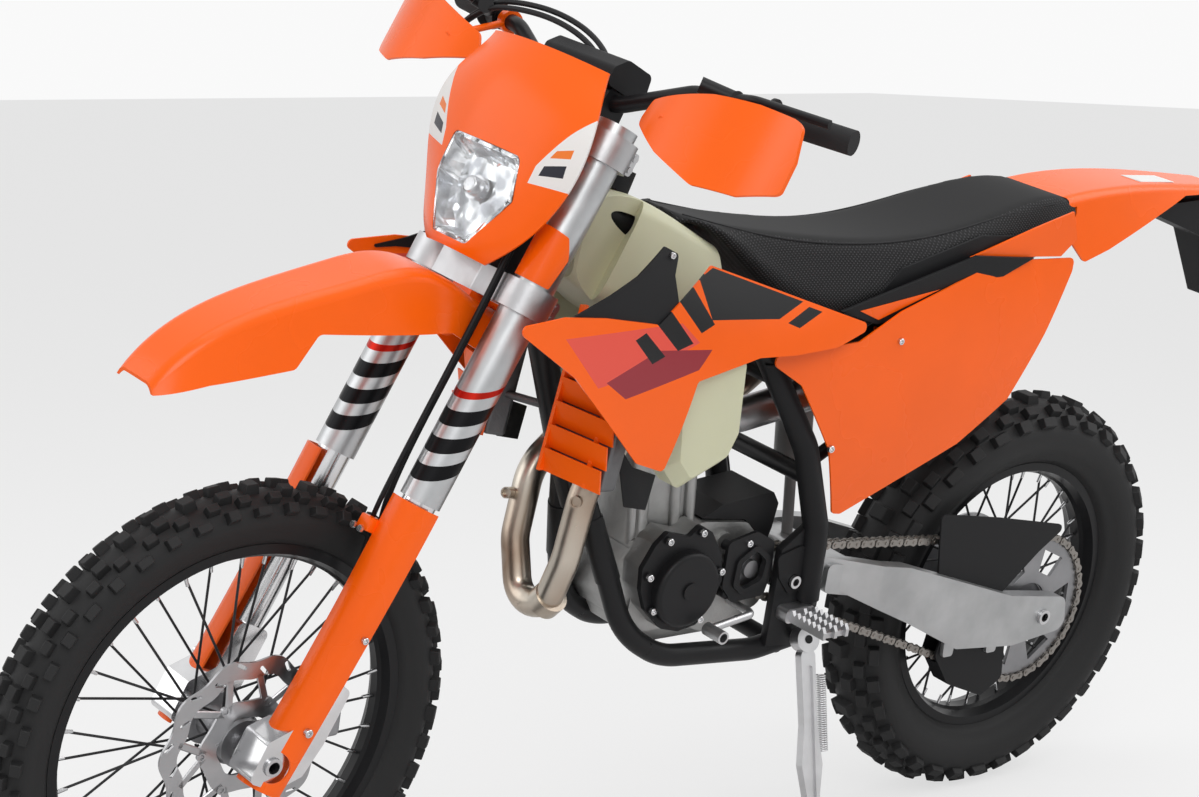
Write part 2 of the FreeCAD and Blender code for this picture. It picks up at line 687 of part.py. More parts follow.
def hand_guard(end, run):
    """Bowed shield ahead of the hand, on a stay from a clamp around the bar."""
    # side, along the steering axis
    outline = ((168, 956), (245, 924), (320, 904), (374, 915), (412, 941), (411, 986),
               (402, 1034), (354, 1030), (292, 1019), (182, 988))
    shell_side, shell_fore, shell_radius = 268, -112, 200
    points = [fork_point(along, 0, side) for side, along in outline]
    block = Part.Face(rounded_wire(points, 12)).extrude(FORE_AXIS * 160)
    start = fork_point(850, shell_fore, shell_side)
    outer = Part.makeCylinder(shell_radius, 250, start, UP_AXIS)
    inner = Part.makeCylinder(shell_radius - 4, 250, start, UP_AXIS)
    shield = block.common(outer.cut(inner))
    core = dim.bar_radius * 0.8 + dim.running_gap
    clamp_at = end - run * 188
    clamp = rod(clamp_at - run * 8, clamp_at + run * 8, core + 5)
    stay = rod(clamp_at, fork_point(966, 82, clamp_at.y + 3), 5)
    hole = rod(clamp_at - run * 12, clamp_at + run * 12, core)
    return fused([shield, clamp, stay]).cut(hole)


def build_front_bodywork():
    feature("front_fender", front_fender(), "steering")
    mask, lamp = mask_and_lamp()
    feature("headlamp_mask", mask, "steering")
    feature("headlamp", lamp, "steering")
    caliper = front_caliper()
    feature("front_caliper", caliper, "steering")
    feature("front_brake_hose", brake_hose().cut(caliper), "steering")


def channel_ring(x, crown, edge, half_top, half_edge, wall, round_top):
    """Inverted channel across the bike at one x."""
    outer = [vec(x, -half_edge, edge), vec(x, -half_top, crown),
             vec(x, half_top, crown), vec(x, half_edge, edge)]
    inner = [vec(x, half_edge - wall, edge), vec(x, half_top - wall, crown - wall),
             vec(x, wall - half_top, crown - wall), vec(x, wall - half_edge, edge)]
    radii = [0, round_top, round_top, 0, 0, round_top - wall, round_top - wall, 0]
    return rounded_wire(outer + inner, radii)


def front_fender():
    # ahead of the front axle, crown, edge, half width of the top, half width of the edge
    stations = ((185, 868, 838, 34, 54), (110, 926, 850, 42, 70), (0, 962, 850, 48, 76),
                (-110, 984, 860, 52, 78), (-200, 990, 870, 50, 74), (-290, 948, 860, 44, 62),
                (-340, 922, 850, 40, 56))
    rings = []
    for ahead, crown, edge, half_top, half_edge in stations:
        rings.append(channel_ring(FRONT_AXLE.x + ahead, crown, edge, half_top, half_edge,
                                  dim.panel_wall + 1, 18))
    blank = ring_loft(rings)
    # ahead of the front axle, height
    outline = ((230, 846), (215, 905), (100, 960), (0, 1000), (-346, 1010), (-346, 850),
               (-250, 906), (-38, 921), (-2, 880), (118, 868))
    cutter = side_plate([(FRONT_AXLE.x + ahead, z) for ahead, z in outline], -120, 120, 12)
    clamp_low = dim.lower_clamp - dim.clamp_height / 2 - dim.running_gap
    # along the steering axis, fore
    seat = ((clamp_low, 10), (clamp_low, 44), (clamp_low - 12, 44), (clamp_low - 16, 10))
    return fused([blank.common(cutter), fork_plate(seat, -20, 20)])


def mask_ring(along, half, middle, side, wall):
    """Bowed strip across the front at one station of the steering axis."""
    outer = [fork_point(along, side, -half), fork_point(along, middle, 0),
             fork_point(along, side, half)]
    inner = [fork_point(along, side - wall, half - wall * 0.5),
             fork_point(along, middle - wall, 0),
             fork_point(along, side - wall, wall * 0.5 - half)]
    edges = [Part.Arc(*outer).toShape(), Part.LineSegment(outer[2], inner[0]).toShape(),
             Part.Arc(*inner).toShape(), Part.LineSegment(inner[2], outer[0]).toShape()]
    return Part.Wire(edges)


def mask_and_lamp():
    # along the steering axis, half width, fore in the middle, fore at the sides
    stations = ((704, 63, 108, 85), (760, 112, 117, 84), (826, 147, 125, 92),
                (885, 158, 134, 103), (940, 143, 134, 104), (994, 119, 126, 99))
    wall = dim.panel_wall + 1
    skin_shape = ring_loft([mask_ring(a, h, m, f, wall) for a, h, m, f in stations])
    # side, along the steering axis
    window = ((-70, 848), (70, 848), (80, 792), (36, 716), (-36, 716), (-80, 792))
    points = [fork_point(along, 20, side) for side, along in window]
    hole = Part.Face(rounded_wire(points, 10)).extrude(FORE_AXIS * 180)
    mask = skin_shape.cut(hole)
    front = dim.clamp_offset + dim.outer_tube_radius + dim.running_gap
    pieces = []
    for y in (dim.fork_spacing / 2, -dim.fork_spacing / 2):
        post = rod(fork_point(880, front, y), fork_point(880, 160, y), 7).cut(skin_shape)
        pieces.append(min(post.Solids, key=lambda solid: (solid.CenterOfMass - AXIS_FOOT) * FORE_AXIS))
    mask = fused([mask] + pieces)
    slack = 1 - dim.running_gap * 2 / 62
    middle = fork_point(782, 0, 0)
    seat = [middle + (p - middle) * slack for p in points]
    glass = ring_loft([mask_ring(a, h + 4, m - 2, f, 42) for a, h, m, f in stations[:4]])
    lamp = Part.Face(rounded_wire(seat, 10)).extrude(FORE_AXIS * 180).common(glass)
    wings = [mask_wing(y) for y in (dim.fork_spacing / 2, -dim.fork_spacing / 2)]
    return Part.makeCompound(mask.Solids + wings), lamp


def mask_wing(y):
    """Lower wing of the mask: a part ring that hugs the leg above the lower clamp."""
    lead = dim.clamp_offset
    inner = dim.outer_tube_radius + dim.running_gap
    low = fork_point(dim.lower_clamp + 24, lead, y)
    high = fork_point(dim.lower_clamp + 110, lead, y)
    ring = rod(low, high, inner + dim.panel_wall, inner)
    outline = fork_plate([(dim.lower_clamp + 24, lead + 60), (dim.lower_clamp + 24, lead + 4),
                          (dim.lower_clamp + 70, lead - 4), (dim.lower_clamp + 96, lead + 12),
                          (dim.lower_clamp + 104, lead + 60)], y - 60, y + 60, 4)
    outward = 1 if y > 0 else -1
    outside = fork_plate([(600, -60), (600, 120), (900, 120), (900, -60)],
                         y - outward * 12, y + outward * 60)
    return largest(ring.common(outline).common(outside))


def front_caliper():
    """Floating caliper behind the left leg, straddling the disc."""
    centre = FRONT_AXLE + vec(-116, 0, 40)
    side = dim.front_disc_offset
    block = Part.makeBox(56, 36, 96, centre + vec(-28, side - 20.3, -48))
    block = block.makeFillet(7, block.Edges)
    reach = dim.front_disc_radius + 2
    slot = Part.makeCylinder(reach, 7, FRONT_AXLE + vec(0, side - 3.5, 0), vec(0, 1, 0))
    bore = Part.makeCylinder(100, 80, FRONT_AXLE + vec(0, side - 60, 0), vec(0, 1, 0))
    return block.cut(slot).cut(bore)


def brake_hose():
    """Hose and sensor cable down the left leg, then behind it to the caliper."""
    lead = dim.clamp_offset
    y = dim.fork_spacing / 2
    # along the leg, forward of it, inward from it
    stops = ((882, 24, 58), (830, 24, 50), (750, 28, 40), (640, 28, 36), (400, 36, 28),
             (320, -2, 42), (200, -28, 40), (120, -30, 40))
    route = [fork_point(along, lead + fore, y - inward) for along, fore, inward in stops]
    return tube(route, 4.5, 60)


# Ignition cover seen from the left: x, z
IGNITION = ((838, 592), (795, 580), (776, 596), (752, 582), (728, 546), (718, 503), (732, 466),
            (756, 437), (790, 431), (824, 440), (860, 474), (874, 507), (877, 540), (858, 574))
COVER_SCREWS = ((838, 580), (776, 586), (866, 528), (850, 474), (756, 448), (728, 520))

# Left frame spar behind the tank: x, y, z
SPAR = ((900, 52, 1010), (700, 92, 850), (600, 108, 700), (553, 112, 570), (546, 112, 440))


def build_frame(crankcase):
    r = dim.frame_tube
    head = rod(fork_point(dim.lower_clamp + dim.clamp_height / 2 + 1, 0, 0),
               fork_point(dim.upper_clamp - dim.clamp_height / 2 - 1, 0, 0),
               dim.head_tube_radius, dim.stem_radius + dim.bearing_gap)
    low = fork_point(dim.lower_clamp + 76, -10, 0)
    top = fork_point(dim.upper_clamp - 50, -12, 0)
    pieces = [head]
    down = tube([low, vec(975, 0, 700), vec(935, 0, 612)], r + 3, 200)
    pieces.append(down)
    for s in (1, -1):
        cradle = tube([vec(960, s * 8, 690), vec(912, s * 52, 545), vec(872, s * 74, 430),
                       vec(800, s * 82, 384), vec(620, s * 90, 372), vec(552, s * 96, 386)],
                      r, 70)
        spar = tube([top + vec(0, s * 16, -12)] + [vec(x, s * y, z) for x, y, z in SPAR],
                    r - 1, 90)
        plate = side_plate([(614, 540), (560, 580), (520, 540), (520, 410), (545, 378),
                            (614, 384)], s * 98, s * 112, 14)
        pieces += [cradle, spar, plate]
    for y in (-50, -22):
        pieces.append(side_plate([(684, 826), (498, 822), (488, 804), (500, 790), (684, 798)],
                                 y, y + 4, 8))
    pieces.append(rod(vec(674, -96, 812), vec(674, 96, 812), r - 3))
    pin = stand_axis()
    pivot = stand_pivot()
    pieces.append(rod(pivot - pin * 27, pivot + pin * 12, 6.5))
    for x, z, half in ((900, 1010, 52), (574, 376, 98), (574, 648, 108)):
        pieces.append(rod(vec(x, -half, z), vec(x, half, z), r - 3))
    frame = fused(pieces)
    frame = frame.cut(Part.makeCylinder(10.3, 300, PIVOT + vec(0, -150, 0), vec(0, 1, 0)))
    stem_room = rod(fork_point(600, 0, 0), fork_point(1000, 0, 0),
                    dim.stem_radius + dim.bearing_gap)
    frame = frame.cut(crankcase).cut(stem_room)
    feature("main_frame", largest(frame))
    return frame


def build_subframe(frame):
    rails = []
    for s in (1, -1):
        upper = tube([vec(692, s * 88, 848), vec(480, s * 76, 856), vec(300, s * 70, 926),
                      vec(60, s * 54, 980)], 11, 80)
        lower = tube([vec(586, s * 95, 663), vec(420, s * 76, 735), vec(300, s * 70, 926)], 10, 60)
        rails += [upper, lower]
    for x, z, half in ((480, 857, 76), (80, 976, 55)):
        rails.append(rod(vec(x, -half, z), vec(x, half, z), 9))
    subframe = fused(rails).cut(frame)
    feature("subframe", subframe)
    return subframe


def build_engine():
    half = dim.crank_half_width
    case = side_plate([(600, 440), (640, 424), (840, 424), (864, 460), (862, 520), (845, 570),
                       (740, 585), (655, 575), (610, 530)], -half, half, 20)
    sump = side_plate([(640, 440), (655, 398), (820, 398), (846, 440)], -56, 56, 14)
    flange = side_plate(IGNITION, half - 12, half + 22, 8)
    drive_end = rod(vec(698, -half - 34, 482), vec(698, half, 482), 76)
    bosses = [rod(vec(x, -62, z), vec(x, half + 6, z), radius)
              for x, z, radius in ((700, 548, 17), (700, 476, 17), (846, 556, 13))]
    crankcase = fused([case, sump, flange, drive_end] + bosses)
    feature("crankcase", crankcase)
    feature("cylinder", baked(barrel_casting()).cut(crankcase))
    head = head_casting()
    feature("cylinder_head", head)
    face = half + 22 + dim.running_gap
    plate = side_plate(IGNITION, face, face + 9, 8)
    cap = rod(vec(795, face + 5, 502), vec(795, face + 27, 502), 58)
    cap = cap.makeFillet(7, [edge for edge in cap.Edges if edge.BoundBox.YMin > face + 26])
    hub = rod(vec(795, face + 20, 502), vec(795, face + 30, 502), 13)
    screws = [rod(vec(x, face + 5, z), vec(x, face + 13, z), 6) for x, z in COVER_SCREWS]
    feature("ignition_cover", fused([plate, cap, hub] + screws))
    feature("sprocket_cover", sprocket_cover(crankcase))
    clutch = rod(vec(698, -half - 34.3, 482), vec(698, -half - 64, 482), 76)
    clutch = clutch.makeFillet(8, [clutch.Edges[0], clutch.Edges[2]])
    feature("clutch_cover", clutch)
    return crankcase, baked(head)


def barrel_casting():
    """Cylinder with the round bosses of its studs down the sides."""
    barrel = Part.makeBox(124, 104, 116, vec(-62, -52, -20))
    upright = [e for e in barrel.Edges if abs(e.tangentAt(e.FirstParameter).z) > 0.9]
    barrel = barrel.makeFillet(16, upright)
    studs = [Part.makeCylinder(9.5, 116, vec(x, y, -20)) for x in (-44, -16, 44)
             for y in (52, -52)]
    barrel = barrel.multiFuse(studs)
    barrel.Placement = head_place()
    return barrel


def head_place():
    return FreeCAD.Placement(vec(802, 0, 580), FreeCAD.Rotation(vec(0, 1, 0), 6))


def head_casting():
    """Cylinder head with its cam cover and the bolts along the joint."""
    head = Part.makeBox(132, 124, 62, vec(-66, -62, 96.3))
    upright = [e for e in head.Edges if abs(e.tangentAt(e.FirstParameter).z) > 0.9]
    head = head.makeFillet(14, upright)
    cover = Part.makeBox(104, 108, 36, vec(-52, -54, 158))
    cover = cover.makeFillet(12, cover.Edges[0:4])
    bolts = [rod(vec(x, -66, 112), vec(x, 66, 112), 7) for x in (-44, 0, 44)]
    head = head.multiFuse([cover] + bolts)
    head.Placement = head_place()
    return head


def sprocket_cover(crankcase):
    """Cover over the output shaft with its oval window, and the guard above it."""
    near = dim.chain_line + dim.chain_width / 2 + 3
    plate = side_plate([(714, 560), (660, 572), (622, 552), (618, 500), (628, 466), (690, 462),
                        (714, 490)], near, near + 6, 10)
    window = side_plate([(658, 542), (636, 524), (640, 494), (672, 482), (686, 494), (684, 526)],
                        near - 5, near + 12, 10)
    ring = side_plate([(660, 552), (626, 528), (631, 488), (674, 472), (696, 490), (694, 530)],
                      near + 1, near + 10, 12)
    posts = [rod(vec(700, dim.crank_half_width + 6 + dim.running_gap, z), vec(700, near + 3, z), 8)
             for z in (548, 476)]
    cover = fused([plate, ring] + posts).cut(window)
    hood = side_plate([(742, 588), (704, 606), (606, 616), (592, 596), (598, 556), (606, 532),
                       (655, 577), (738, 588)], -30, 66, 5)
    return Part.makeCompound(cover.Solids + [largest(hood.cut(crankcase))])


def build_exhaust(head):
    joint = vec(392, -142, 815)
    route = [vec(878, 6, 729), vec(924, 44, 712), vec(968, 58, 655), vec(980, 54, 550),
             vec(986, 30, 468), vec(986, -32, 458), vec(980, -66, 540), vec(955, -82, 640),
             vec(885, -86, 700), vec(760, -85, 722), vec(640, -64, 730), vec(585, -70, 738),
             vec(480, -108, 770), joint]
    header = tube(route, dim.header_radius, 45, dim.header_radius - 2).cut(head)
    feature("exhaust_header", largest(header))
    start = joint
    end = vec(30, -150, 868)
    can = rod(start, end, dim.muffler_radius)
    run = end - start
    run.normalize()
    nose = Part.makeCone(dim.header_radius + 3, dim.muffler_radius - 4, 40, start - run * 40.3, run)
    tail = Part.makeCone(dim.muffler_radius - 4, 30, 46, end, run)
    outlet = rod(end + run * 20, end + run * 74, 19)
    whole = fused([can, nose, tail, outlet])
    whole = whole.cut(rod(end + run * 10, end + run * 90, 16))
    pipe = tube(route, dim.header_radius + 0.3, 45)
    feature("muffler", largest(whole.cut(pipe)))


def build_cooling(frame):
    blocks = []
    for s in (1, -1):
        core = Part.makeBox(34, 104, 232, vec(-17, -52, -116))
        core = core.makeFillet(6, core.Edges)
        core.Placement = radiator_place(s)
        brackets = [rod(vec(1004, s * 16, 760), vec(1030, s * 72, 760), 6),
                    rod(vec(1046, s * 16, 880), vec(1016, s * 72, 880), 6)]
        blocks.append(fused([baked(core)] + brackets).cut(frame))
    cores = Part.makeCompound(blocks)
    feature("radiators", cores)
    grille = louvred_guard()
    grille.Placement = radiator_place(1)
    feature("radiator_guards", both_sides(largest(baked(grille).cut(cores))))
    return cores


def radiator_place(s):
    turn = FreeCAD.Rotation(vec(0, 1, 0), -9).multiply(FreeCAD.Rotation(vec(0, 0, 1), s * 14))
    return FreeCAD.Placement(vec(1012, s * 116, 812), turn)


def louvred_guard():
    """Radiator guard: slanted blades on two rails, their outer ends left free."""
    face = 17 + dim.running_gap
    pieces = [Part.makeBox(14, 5, 236, vec(face, -52, -118)),
              Part.makeBox(6, 6, 236, vec(face, 22, -118))]
    count = 7
    pitch = 236 / count
    for i in range(count):
        z = -118 + i * pitch
        blade = [vec(face + 1, -50, z), vec(face + 4, -50, z), vec(face + 16, -50, z + pitch),
                 vec(face + 13, -50, z + pitch)]
        pieces.append(Part.Face(Part.makePolygon(blade + blade[:1])).extrude(vec(0, 102, 0)))
    return fused(pieces)


def steering_room():
    """Space that the fork legs sweep between the steering stops, and the head tube."""
    foot = fork_point(600, 0, 0)
    sweep = Part.makeCylinder(138, 420, foot, UP_AXIS)
    free = fork_plate([(590, 0), (590, -200), (1050, -200), (1050, 0)], -48, 48)
    neck = Part.makeCylinder(dim.head_tube_radius + 4, 420, foot, UP_AXIS)
    return sweep.cut(free).fuse(neck)


def build_tank(frame, seat):
    # x, half width at the top, half width low, bottom, top, corner radius
    stations = ((1034, 40, 46, 960, 1078, 20), (960, 58, 104, 905, 1078, 30),
                (860, 64, 134, 858, 1036, 30), (790, 60, 130, 858, 1000, 28))
    main = ring_loft([cross_ring(x, ht, hl, zl, zt, r) for x, ht, hl, zl, zt, r in stations])
    wing = tank_wing()
    tank = fused([main, wing, mirrored(wing)])
    tank = tank.cut(steering_room()).cut(frame).cut(seat)
    biggest = largest(tank)
    feature("fuel_tank", biggest)
    cap = rod(vec(962, 0, 1079), vec(952, 0, 1108), 34)
    feature("tank_cap", cap.cut(tank))
    return biggest


def tank_wing():
    """Low side lobe of the tank, with a broad flat facet and bevels round it."""
    # x, z
    outline = ((790, 886), (935, 900), (925, 850), (908, 712), (878, 678), (800, 712),
               (782, 753))
    centre = vec(852, 0, 792)
    rings = []
    for y, share in ((112, 1), (146, 1), (168, 0.8)):
        points = [vec(x, y, z) for x, z in outline]
        flat = centre + vec(0, y, 0)
        rings.append(rounded_wire([flat + (p - flat) * share for p in points], 12 * share))
    return ring_loft(rings, True)


def build_seat():
    # x, half width at the top, half width low, bottom, top, corner radius
    stations = ((868, 34, 56, 1026, 1050, 10), (740, 58, 100, 968, 1024, 22),
                (545, 74, 120, 896, 1004, 26), (397, 84, 120, 962, 1008, 22),
                (275, 86, 112, 992, 1030, 18), (60, 66, 88, 1026, 1044, 10))
    seat = ring_loft([cross_ring(x, ht, hl, zl, zt, r) for x, ht, hl, zl, zt, r in stations])
    feature("seat", seat)
    return seat


def build_side_bodywork(tank, cores, rails):
    # x, then z and y low, middle and top
    shroud_skin = ((500, 840, 134, 900, 130, 1020, 108), (800, 680, 178, 860, 176, 1020, 122),
                   (1000, 680, 192, 860, 194, 1020, 162), (1260, 680, 204, 900, 212, 1020, 196))
    shroud = bowed_panel([(1248, 955), (1160, 962), (1085, 954), (985, 936), (875, 1002),
                          (812, 982), (530, 892), (615, 870), (705, 868), (782, 872),
                          (905, 852), (950, 728), (1003, 747), (1064, 809), (1135, 880)],
                         shroud_skin, dim.panel_wall, 8)
    studs = [stud_under(shroud, 892, 140, 862, 7), stud_under(shroud, 999, 150, 812, 7)]
    shroud = fused([shroud] + studs).cut(tank).cut(cores)
    feature("shrouds", both_sides(largest(shroud)))
    step = dim.panel_wall + dim.running_gap
    flap_skin = [(x, zl, yl - step, zm, ym - step, zt + 20, yt - step - 6)
                 for x, zl, yl, zm, ym, zt, yt in shroud_skin]
    flap = bowed_panel([(1216, 944), (1148, 958), (1077, 981), (1024, 1001), (967, 1034),
                        (940, 1022), (950, 996), (944, 960), (975, 926), (1085, 938),
                        (1160, 946)], flap_skin, dim.panel_wall, 5)
    feature("shroud_flaps", both_sides(largest(flap.cut(shroud))))
    side_skin = ((40, 560, 96, 800, 118, 1010, 100), (300, 560, 108, 800, 134, 1010, 112),
                 (560, 560, 116, 800, 138, 1010, 118), (800, 560, 126, 800, 146, 1010, 120))
    left = bowed_panel([(744, 859), (660, 811), (577, 703), (533, 593), (515, 590), (403, 638),
                        (294, 684), (200, 749), (137, 851), (88, 946), (85, 966), (270, 972),
                        (472, 908), (554, 868)], side_skin, dim.panel_wall, 10)
    right = bowed_panel([(744, 859), (700, 848), (600, 842), (500, 856), (420, 888), (380, 904),
                         (300, 918), (88, 946), (85, 966), (270, 972), (472, 908), (554, 868)],
                        side_skin, dim.panel_wall, 8)
    panels = []
    for panel in (left, right):
        studs = [stud_under(panel, 470, 76, 864, 6), stud_under(panel, 290, 68, 932, 6)]
        whole = fused([panel] + studs).cut(rails)
        panels.append(largest(whole))
    feature("side_panels", Part.makeCompound([panels[0], mirrored(panels[1])]))


def build_tail(seat):
    # x, crown, edge, half width of the top, half width of the edge
    stations = ((110, 1046, 940, 70, 96), (0, 1060, 950, 68, 92), (-150, 1062, 990, 58, 80),
                (-345, 1050, 1010, 40, 56))
    rings = [channel_ring(x, c, e, ht, he, dim.panel_wall + 1, 16) for x, c, e, ht, he in stations]
    blank = ring_loft(rings)
    outline = [(120, 1070), (-300, 1075), (-348, 1060), (-340, 1040), (-225, 1042), (-150, 1016),
               (-21, 968), (39, 951), (88, 1000), (120, 1030)]
    fender = blank.common(side_plate(outline, -120, 120, 10)).cut(seat)
    feature("rear_fender", largest(fender))
    holder = side_plate([(-170, 1010), (-200, 1020), (-330, 1028), (-345, 1000), (-420, 850),
                         (-408, 842), (-330, 960), (-250, 985)], -34, 34, 8)
    neck = side_plate([(-175, 1062), (-326, 1054), (-326, 1020), (-186, 1010)], -20, 20, 3)
    feature("plate_holder", largest(fused([holder, neck.cut(blank)]).cut(blank)))


def build_intake(head):
    box = side_plate([(446, 836), (330, 870), (230, 900), (250, 820), (330, 745), (440, 712)],
                     -54, 54, 20)
    feature("airbox", box)
    throat = tube([vec(440, 26, 771), vec(560, 30, 748), vec(650, 14, 724), vec(758, 0, 712)],
                  26, 60, 22)
    throat = throat.cut(box).cut(head)
    feature("throttle_body", largest(throat))


def build_swingarm(frame):
    px, pz = dim.pivot_x, dim.pivot_z
    profile = side_plate([(px + 28, pz + 12), (px - 8, pz + 28), (500, 508), (341, 482), (88, 400),
                          (-50, 380), (-62, 322), (62, 308), (198, 322), (330, 388), (470, 452),
                          (px - 8, pz - 28), (px + 28, pz - 12)], 0, 130, 20)
    plan = [(-80, 100), (-80, 126), (400, 126), (505, 92), (640, 92), (640, 73.5), (490, 73.5),
            (390, 100)]
    plan = Part.Face(rounded_wire([vec(x, y, 200) for x, y in plan], 20)).extrude(vec(0, 0, 500))
    beam = profile.common(plan)
    bridge = side_plate([(500, 500), (420, 488), (420, 436), (500, 452)], -104, 104, 10)
    ears = [side_plate([(x + 14, 362), (x - 16, 362), (x - 14, low), (x + 8, low)], 100, 107, 5)
            for x, low in ((196, 300), (92, 292))]
    arm = fused([beam, mirrored(beam), bridge] + ears)
    arm = arm.cut(Part.makeCylinder(dim.rear_axle_radius + dim.running_gap, 300,
                                    REAR_AXLE + vec(0, -150, 0), vec(0, 1, 0)))
    arm = arm.cut(Part.makeCylinder(10.3, 300, PIVOT + vec(0, -150, 0), vec(0, 1, 0)))
    feature("swingarm", arm)
    build_chain(arm)
    feature("swingarm_pivot", rod(PIVOT + vec(0, -122, 0), PIVOT + vec(0, 122, 0), 10, 6))
    top = vec(505, -34, 806)
    low = vec(462, -34, 490)
    run = low - top
    run.normalize()
    eye = rod(top + vec(0, -11.7, 0), top + vec(0, 11.7, 0), 14)
    body = fused([eye, rod(top + run * 10, top + run * 60, 11), rod(top + run * 20, top + run * 60, 22),
                  rod(top + run * 50, top + run * 190, 29), rod(top + run * 150, low, 9)])
    shock = body.cut(arm).cut(frame)
    feature("rear_shock", largest(shock))


def chain_path(radius_big, radius_small):
    """Closed loop of two arcs and the two tangent runs between them."""
    big = vec(REAR_AXLE.x, 0, REAR_AXLE.z)
    small = vec(DRIVE.x, 0, DRIVE.z)
    gap = small - big
    slope = math.atan2(gap.z, gap.x)
    open_angle = math.acos((radius_big - radius_small) / gap.Length)

    def on(centre, radius, angle):
        return centre + vec(radius * math.cos(angle), 0, radius * math.sin(angle))

    up, low = slope + open_angle, slope - open_angle
    edges = [Part.Arc(on(big, radius_big, up), on(big, radius_big, slope + math.pi),
                      on(big, radius_big, low)).toShape(),
             Part.LineSegment(on(big, radius_big, low), on(small, radius_small, low)).toShape(),
             Part.Arc(on(small, radius_small, low), on(small, radius_small, slope),
                      on(small, radius_small, up)).toShape(),
             Part.LineSegment(on(small, radius_small, up), on(big, radius_big, up)).toShape()]
    return Part.Face(Part.Wire(edges))


def chain_stops(count):
    """Points spaced evenly along the chain's pitch line, each with its outward angle."""
    gap = DRIVE - REAR_AXLE
    slope = math.atan2(gap.z, gap.x)
    half_wrap = math.acos((SPROCKET_RADIUS - DRIVE_RADIUS) / gap.Length)
    run = math.sqrt(gap.Length ** 2 - (SPROCKET_RADIUS - DRIVE_RADIUS) ** 2)
    rear_wrap = SPROCKET_RADIUS * 2 * (math.pi - half_wrap)
    front_wrap = DRIVE_RADIUS * 2 * half_wrap
    total = rear_wrap + front_wrap + 2 * run
    stops = []
    for i in range(count):
        s = total * i / count
        if s < rear_wrap:
            angle = slope + half_wrap + s / SPROCKET_RADIUS
            stops.append((on_circle(REAR_AXLE, SPROCKET_RADIUS, angle), angle))
        elif s < rear_wrap + run:
            angle = slope - half_wrap
            low = on_circle(REAR_AXLE, SPROCKET_RADIUS, angle)
            far = on_circle(DRIVE, DRIVE_RADIUS, angle)
            stops.append((low + (far - low) * ((s - rear_wrap) / run), angle))
        elif s < rear_wrap + run + front_wrap:
            angle = slope - half_wrap + (s - rear_wrap - run) / DRIVE_RADIUS
            stops.append((on_circle(DRIVE, DRIVE_RADIUS, angle), angle))
        else:
            angle = slope + half_wrap
            high = on_circle(DRIVE, DRIVE_RADIUS, angle)
            far = on_circle(REAR_AXLE, SPROCKET_RADIUS, angle)
            share = (s - rear_wrap - run - front_wrap) / run
            stops.append((high + (far - high) * share, angle))
    return stops, total


def on_circle(centre, radius, angle):
    return vec(centre.x + radius * math.cos(angle), 0, centre.z + radius * math.sin(angle))


def chain_band():
    """Closed band of links: full height over each pin, waisted between pins."""
    total = chain_stops(1)[1]
    links = 2 * round(total / dim.chain_pitch / 2)
    outer = []
    inner = []
    for i, (stop, angle) in enumerate(chain_stops(2 * links)[0]):
        outer.append(on_circle(stop, 5 if i % 2 else 7.2, angle))
        if i % 4 == 0 or (stop - DRIVE).Length < DRIVE_RADIUS + 1:
            inner.append(on_circle(stop, -4.4, angle))
    band = Part.Face(Part.makePolygon(outer + outer[:1]))
    band = band.cut(Part.Face(Part.makePolygon(inner + inner[:1])))
    return band.extrude(vec(0, dim.chain_width, 0))


def build_chain(arm):
    band = chain_band()
    band.translate(vec(0, dim.chain_line - dim.chain_width / 2, 0))
    feature("drive_chain", band)
    start = DRIVE + vec(0, dim.crank_half_width + dim.running_gap, 0)
    front = rod(start, DRIVE + vec(0, dim.chain_line + 3, 0), DRIVE_RADIUS - 6)
    nut = rod(start, DRIVE + vec(0, dim.chain_line + 9, 0), 14)
    feature("front_sprocket", front.fuse(nut))
    guide = side_plate([(206, 346), (52, 316), (40, 236), (84, 210), (172, 245), (214, 300)],
                       dim.chain_line - 16, dim.chain_line + 16, 12)
    room = chain_path(SPROCKET_RADIUS + 9, DRIVE_RADIUS + 9)
    room = room.extrude(vec(0, dim.chain_width + 6, 0))
    room.translate(vec(0, dim.chain_line - dim.chain_width / 2 - 3, 0))
    guide = largest(guide.cut(room).cut(arm))
    guard = side_plate([(272, 556), (130, 534), (-38, 502), (20, 462), (96, 396), (250, 440),
                        (262, 500)], 104, 107.5, 8)
    feature("chain_guide", Part.makeCompound([guide, largest(guard.cut(arm))]))


def build_controls(frame):
    pegs = []
    for s in (1, -1):
        bracket = side_plate([(546, 428), (604, 428), (604, 451), (546, 451)], s * 108, s * 134, 8)
        peg = fused([bracket] + peg_walls(s)).cut(frame)
        pegs.append(largest(peg))
    feature("footpegs", Part.makeCompound(pegs))
    lever = tube([vec(668, 72.3, 452), vec(668, 128, 452), vec(775, 146, 448)], 6, 14)
    tip = rod(vec(768, 140, 448), vec(768, 178, 448), 10, 7)
    pedal = tube([vec(612, -112.3, 404), vec(612, -134, 404), vec(700, -150, 388),
                  vec(756, -150, 400)], 7, 16)
    plate = Part.makeBox(40, 36, 8, vec(735, -166, 400))
    feature("foot_controls", Part.makeCompound(fused([lever, tip]).Solids
                                               + fused([pedal, plate]).Solids))


